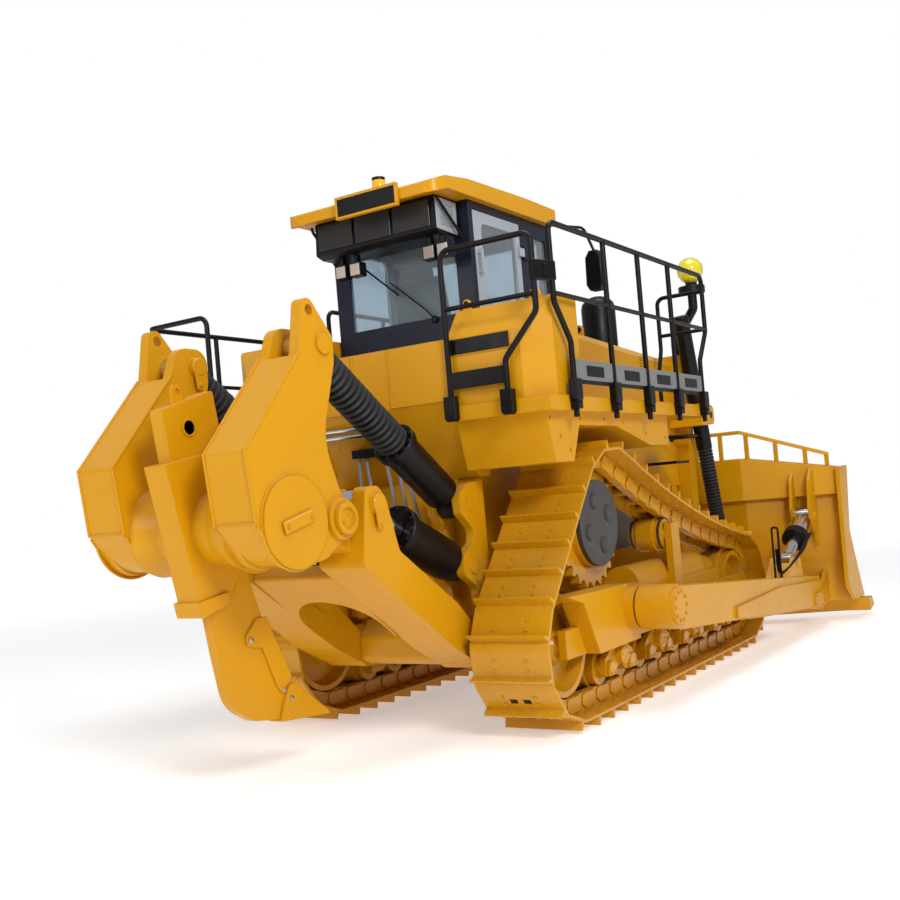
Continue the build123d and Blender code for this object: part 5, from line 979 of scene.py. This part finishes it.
LIFTING_EYES = (    # x, y, z, radius of the plate's arch, radius of the hole
    (0, -880, 3610, 42, 17), (300, -1380, 3645, 58, 23), (0, 880, 3610, 42, 17), (2700, -600, 3665, 52, 21),
    (2700, 600, 3665, 52, 21))
piece("lifting_eyes", joined(*[lifting_eye(x, y, z, arch) for x, y, z, arch, _ in LIFTING_EYES]),
      yellow, "root")
# Dark plugs in the lifting eyes' holes: painted shade inside the holes.
piece("eye_holes", joined(*[lathe([(hole, -18), (hole, 18), (0.5, 18)], (x, y, z), (-1, 0, 0), 20)
                            for x, y, z, _, hole in LIFTING_EYES]), black, "root")
piece("tank_grab_handle", tube([(40, 1300, 3556), (10, 1300, 3700), (330, 1300, 3700), (350, 1300, 3556)],
                               15, 45, 12), yellow, "root")
piece("muffler_dome", lathe([(200, 3500), (200, 4060), (186, 4120), (140, 4172), (70, 4200), (0.5, 4206)],
                            (3880, -300, 0), (0, 0, 1), 40), black, "root")


def vent_holes(side):
    """Rows of small round holes near the top of the hood's side, as dark discs: painted shade inside the
    holes.
    """
    disc = upright([(11, 0), (11, 2), (0.5, 2)], 10)
    spots = [(x0 + 50 * i, -740.0, z0 + 34 * j) for x0, z0, n in ((3960.0, 3330.0, 5), (4380.0, 3330.0, 4))
             for i in range(n) for j in range(4)]
    return on_side(side, copies(disc, np.array(spots), (0, -1, 0)))


piece("hood_vent_holes", both_sides(vent_holes), black, "root")


def skirt_bolts(side):
    """Bolt heads along the skirt and the rear corner of the walkway."""
    spots = [(x, -1640.0, z) for x, z in ((-120, 2560), (40, 2420), (200, 2300), (420, 2560), (900, 2560),
                                          (1300, 2540), (1800, 2440), (2280, 2400))]
    return on_side(side, bolts(spots, (0, -1, 0), 13))


def tank_seams(side):
    """Seam beads on the fuel tank's rear face and bolts on the hull's slope below it."""
    x = -262
    parts = [bead([(x, -200, 2800), (x, -200, 3300)], 9, up=(0, 1, 0)),
             bead([(x, -200, 2800), (x, -780, 2800)], 9, up=(0, 0, 1))]
    slope = unit((-390, 0, -260))
    parts.append(bolts([(x, y, z) for x, z in ((-130, 2612), (-70, 2514)) for y in (-690, -560)], slope, 12))
    return on_side(side, *parts)


piece("tank_seams", both_sides(tank_seams), yellow, "root")
piece("skirt_bolts", both_sides(skirt_bolts), yellow, "root")


# ================ stage, light and camera
FLOOR_NEAR, FLOOR_FAR = 9.0, 20.0


def stage_finish():
    """Pale matt floor round the machine that turns, with distance from the middle, into plain white light."""
    material = bpy.data.materials.new("studio_floor_pale")
    material.use_nodes = True
    s = Sheet(material.node_tree)
    body = material.node_tree.nodes["Principled BSDF"]
    body.inputs["Roughness"].default_value = 0.7
    reach = s.add("ShaderNodeVectorMath", operation="LENGTH")
    s.link(s.add("ShaderNodeTexCoord"), "Object", reach, 0)
    far = s.spread((reach, "Value"), FLOOR_NEAR, FLOOR_FAR)
    s.link(*s.mix(far, (0.86, 0.86, 0.86), (0.02, 0.02, 0.02)), body, "Base Color")
    s.link(*s.mix(far, (0.38, 0.38, 0.38), (1.0, 1.0, 1.0)), body, "Emission Color")
    body.inputs["Emission Strength"].default_value = 1.0
    return material


def floor():
    """Round floor under the machine."""
    radius = 60000.0
    t = np.arange(96) * 2 * math.pi / 96
    rim = np.stack([DATUM_X + radius * np.cos(t), radius * np.sin(t), np.full(96, -2.0)], 1)
    piece("studio_floor", (rim, [tuple(range(96))]), stage_finish(), None)


floor()


def world():
    """Soft sky: the camera, mirrors and glass see white, and the object gets a plain level."""
    sky = bpy.data.worlds.new("studio")
    bpy.context.scene.world = sky
    sky.use_nodes = True
    s = Sheet(sky.node_tree)
    background = sky.node_tree.nodes["Background"]
    path = s.add("ShaderNodeLightPath")
    seen = s.math("MAXIMUM", (path, "Is Camera Ray"), (path, "Is Transmission Ray"))
    background.inputs["Color"].default_value = (1, 1, 1, 1)
    strength = s.spread(seen, 0, 1, 0.44, 1.0)
    s.link(*strength, background, "Strength")


world()


def lamp(name, centre, target, size, power):
    """Round soft light of a size in metres and a power in watts, turned to its target."""
    light = bpy.data.lights.new(name, "AREA")
    light.shape = "DISK"
    light.size = size
    light.energy = power
    thing = bpy.data.objects.new(name, light)
    bpy.context.scene.collection.objects.link(thing)
    way = unit(np.subtract(centre, target))
    a, b = cross_axes(way)
    thing.matrix_world = Matrix([(a[0][i], b[0][i], way[i], centre[i]) for i in range(3)] + [(0, 0, 0, 1)])


lamp("key_softbox", (-9.0, -11.0, 9.0), (-1.0, 0, 2.0), 4.0, 1050)
lamp("rear_fill", (-13.0, 3.0, 6.0), (-3.0, 0, 2.2), 5.0, 280)
lamp("top_softbox", (0.0, -2.0, 13.0), (0, 0, 2.0), 7.0, 680)


def camera():
    """View from the right rear, near hub height, leaning a little clockwise."""
    yaw, pitch, roll = (math.radians(a) for a in (31.873, 0.534, -4.882))
    sensor, lens_share = 36.0, 1.200938889      # sensor's width in mm, focal length over that width
    look = np.array([math.cos(pitch) * math.cos(yaw), math.cos(pitch) * math.sin(yaw), math.sin(pitch)])
    right = np.array([math.sin(yaw), -math.cos(yaw), 0.0])
    up = np.cross(right, look)
    across = right * math.cos(roll) + up * math.sin(roll)
    over = -right * math.sin(roll) + up * math.cos(roll)
    data = bpy.data.cameras.new("camera")
    data.sensor_width = sensor
    data.lens = sensor * lens_share
    data.shift_x, data.shift_y = -0.029738889, 0.038364444
    data.clip_end = 300
    thing = bpy.data.objects.new("camera", data)
    bpy.context.scene.collection.objects.link(thing)
    spot = (-7.7873 - DATUM_X / 1000, -5.6674, 1.9989)
    thing.matrix_world = Matrix([(across[i], over[i], -look[i], spot[i]) for i in range(3)] + [(0, 0, 0, 1)])
    bpy.context.scene.camera = thing


camera()
bpy.context.scene.view_settings.view_transform = "Standard"
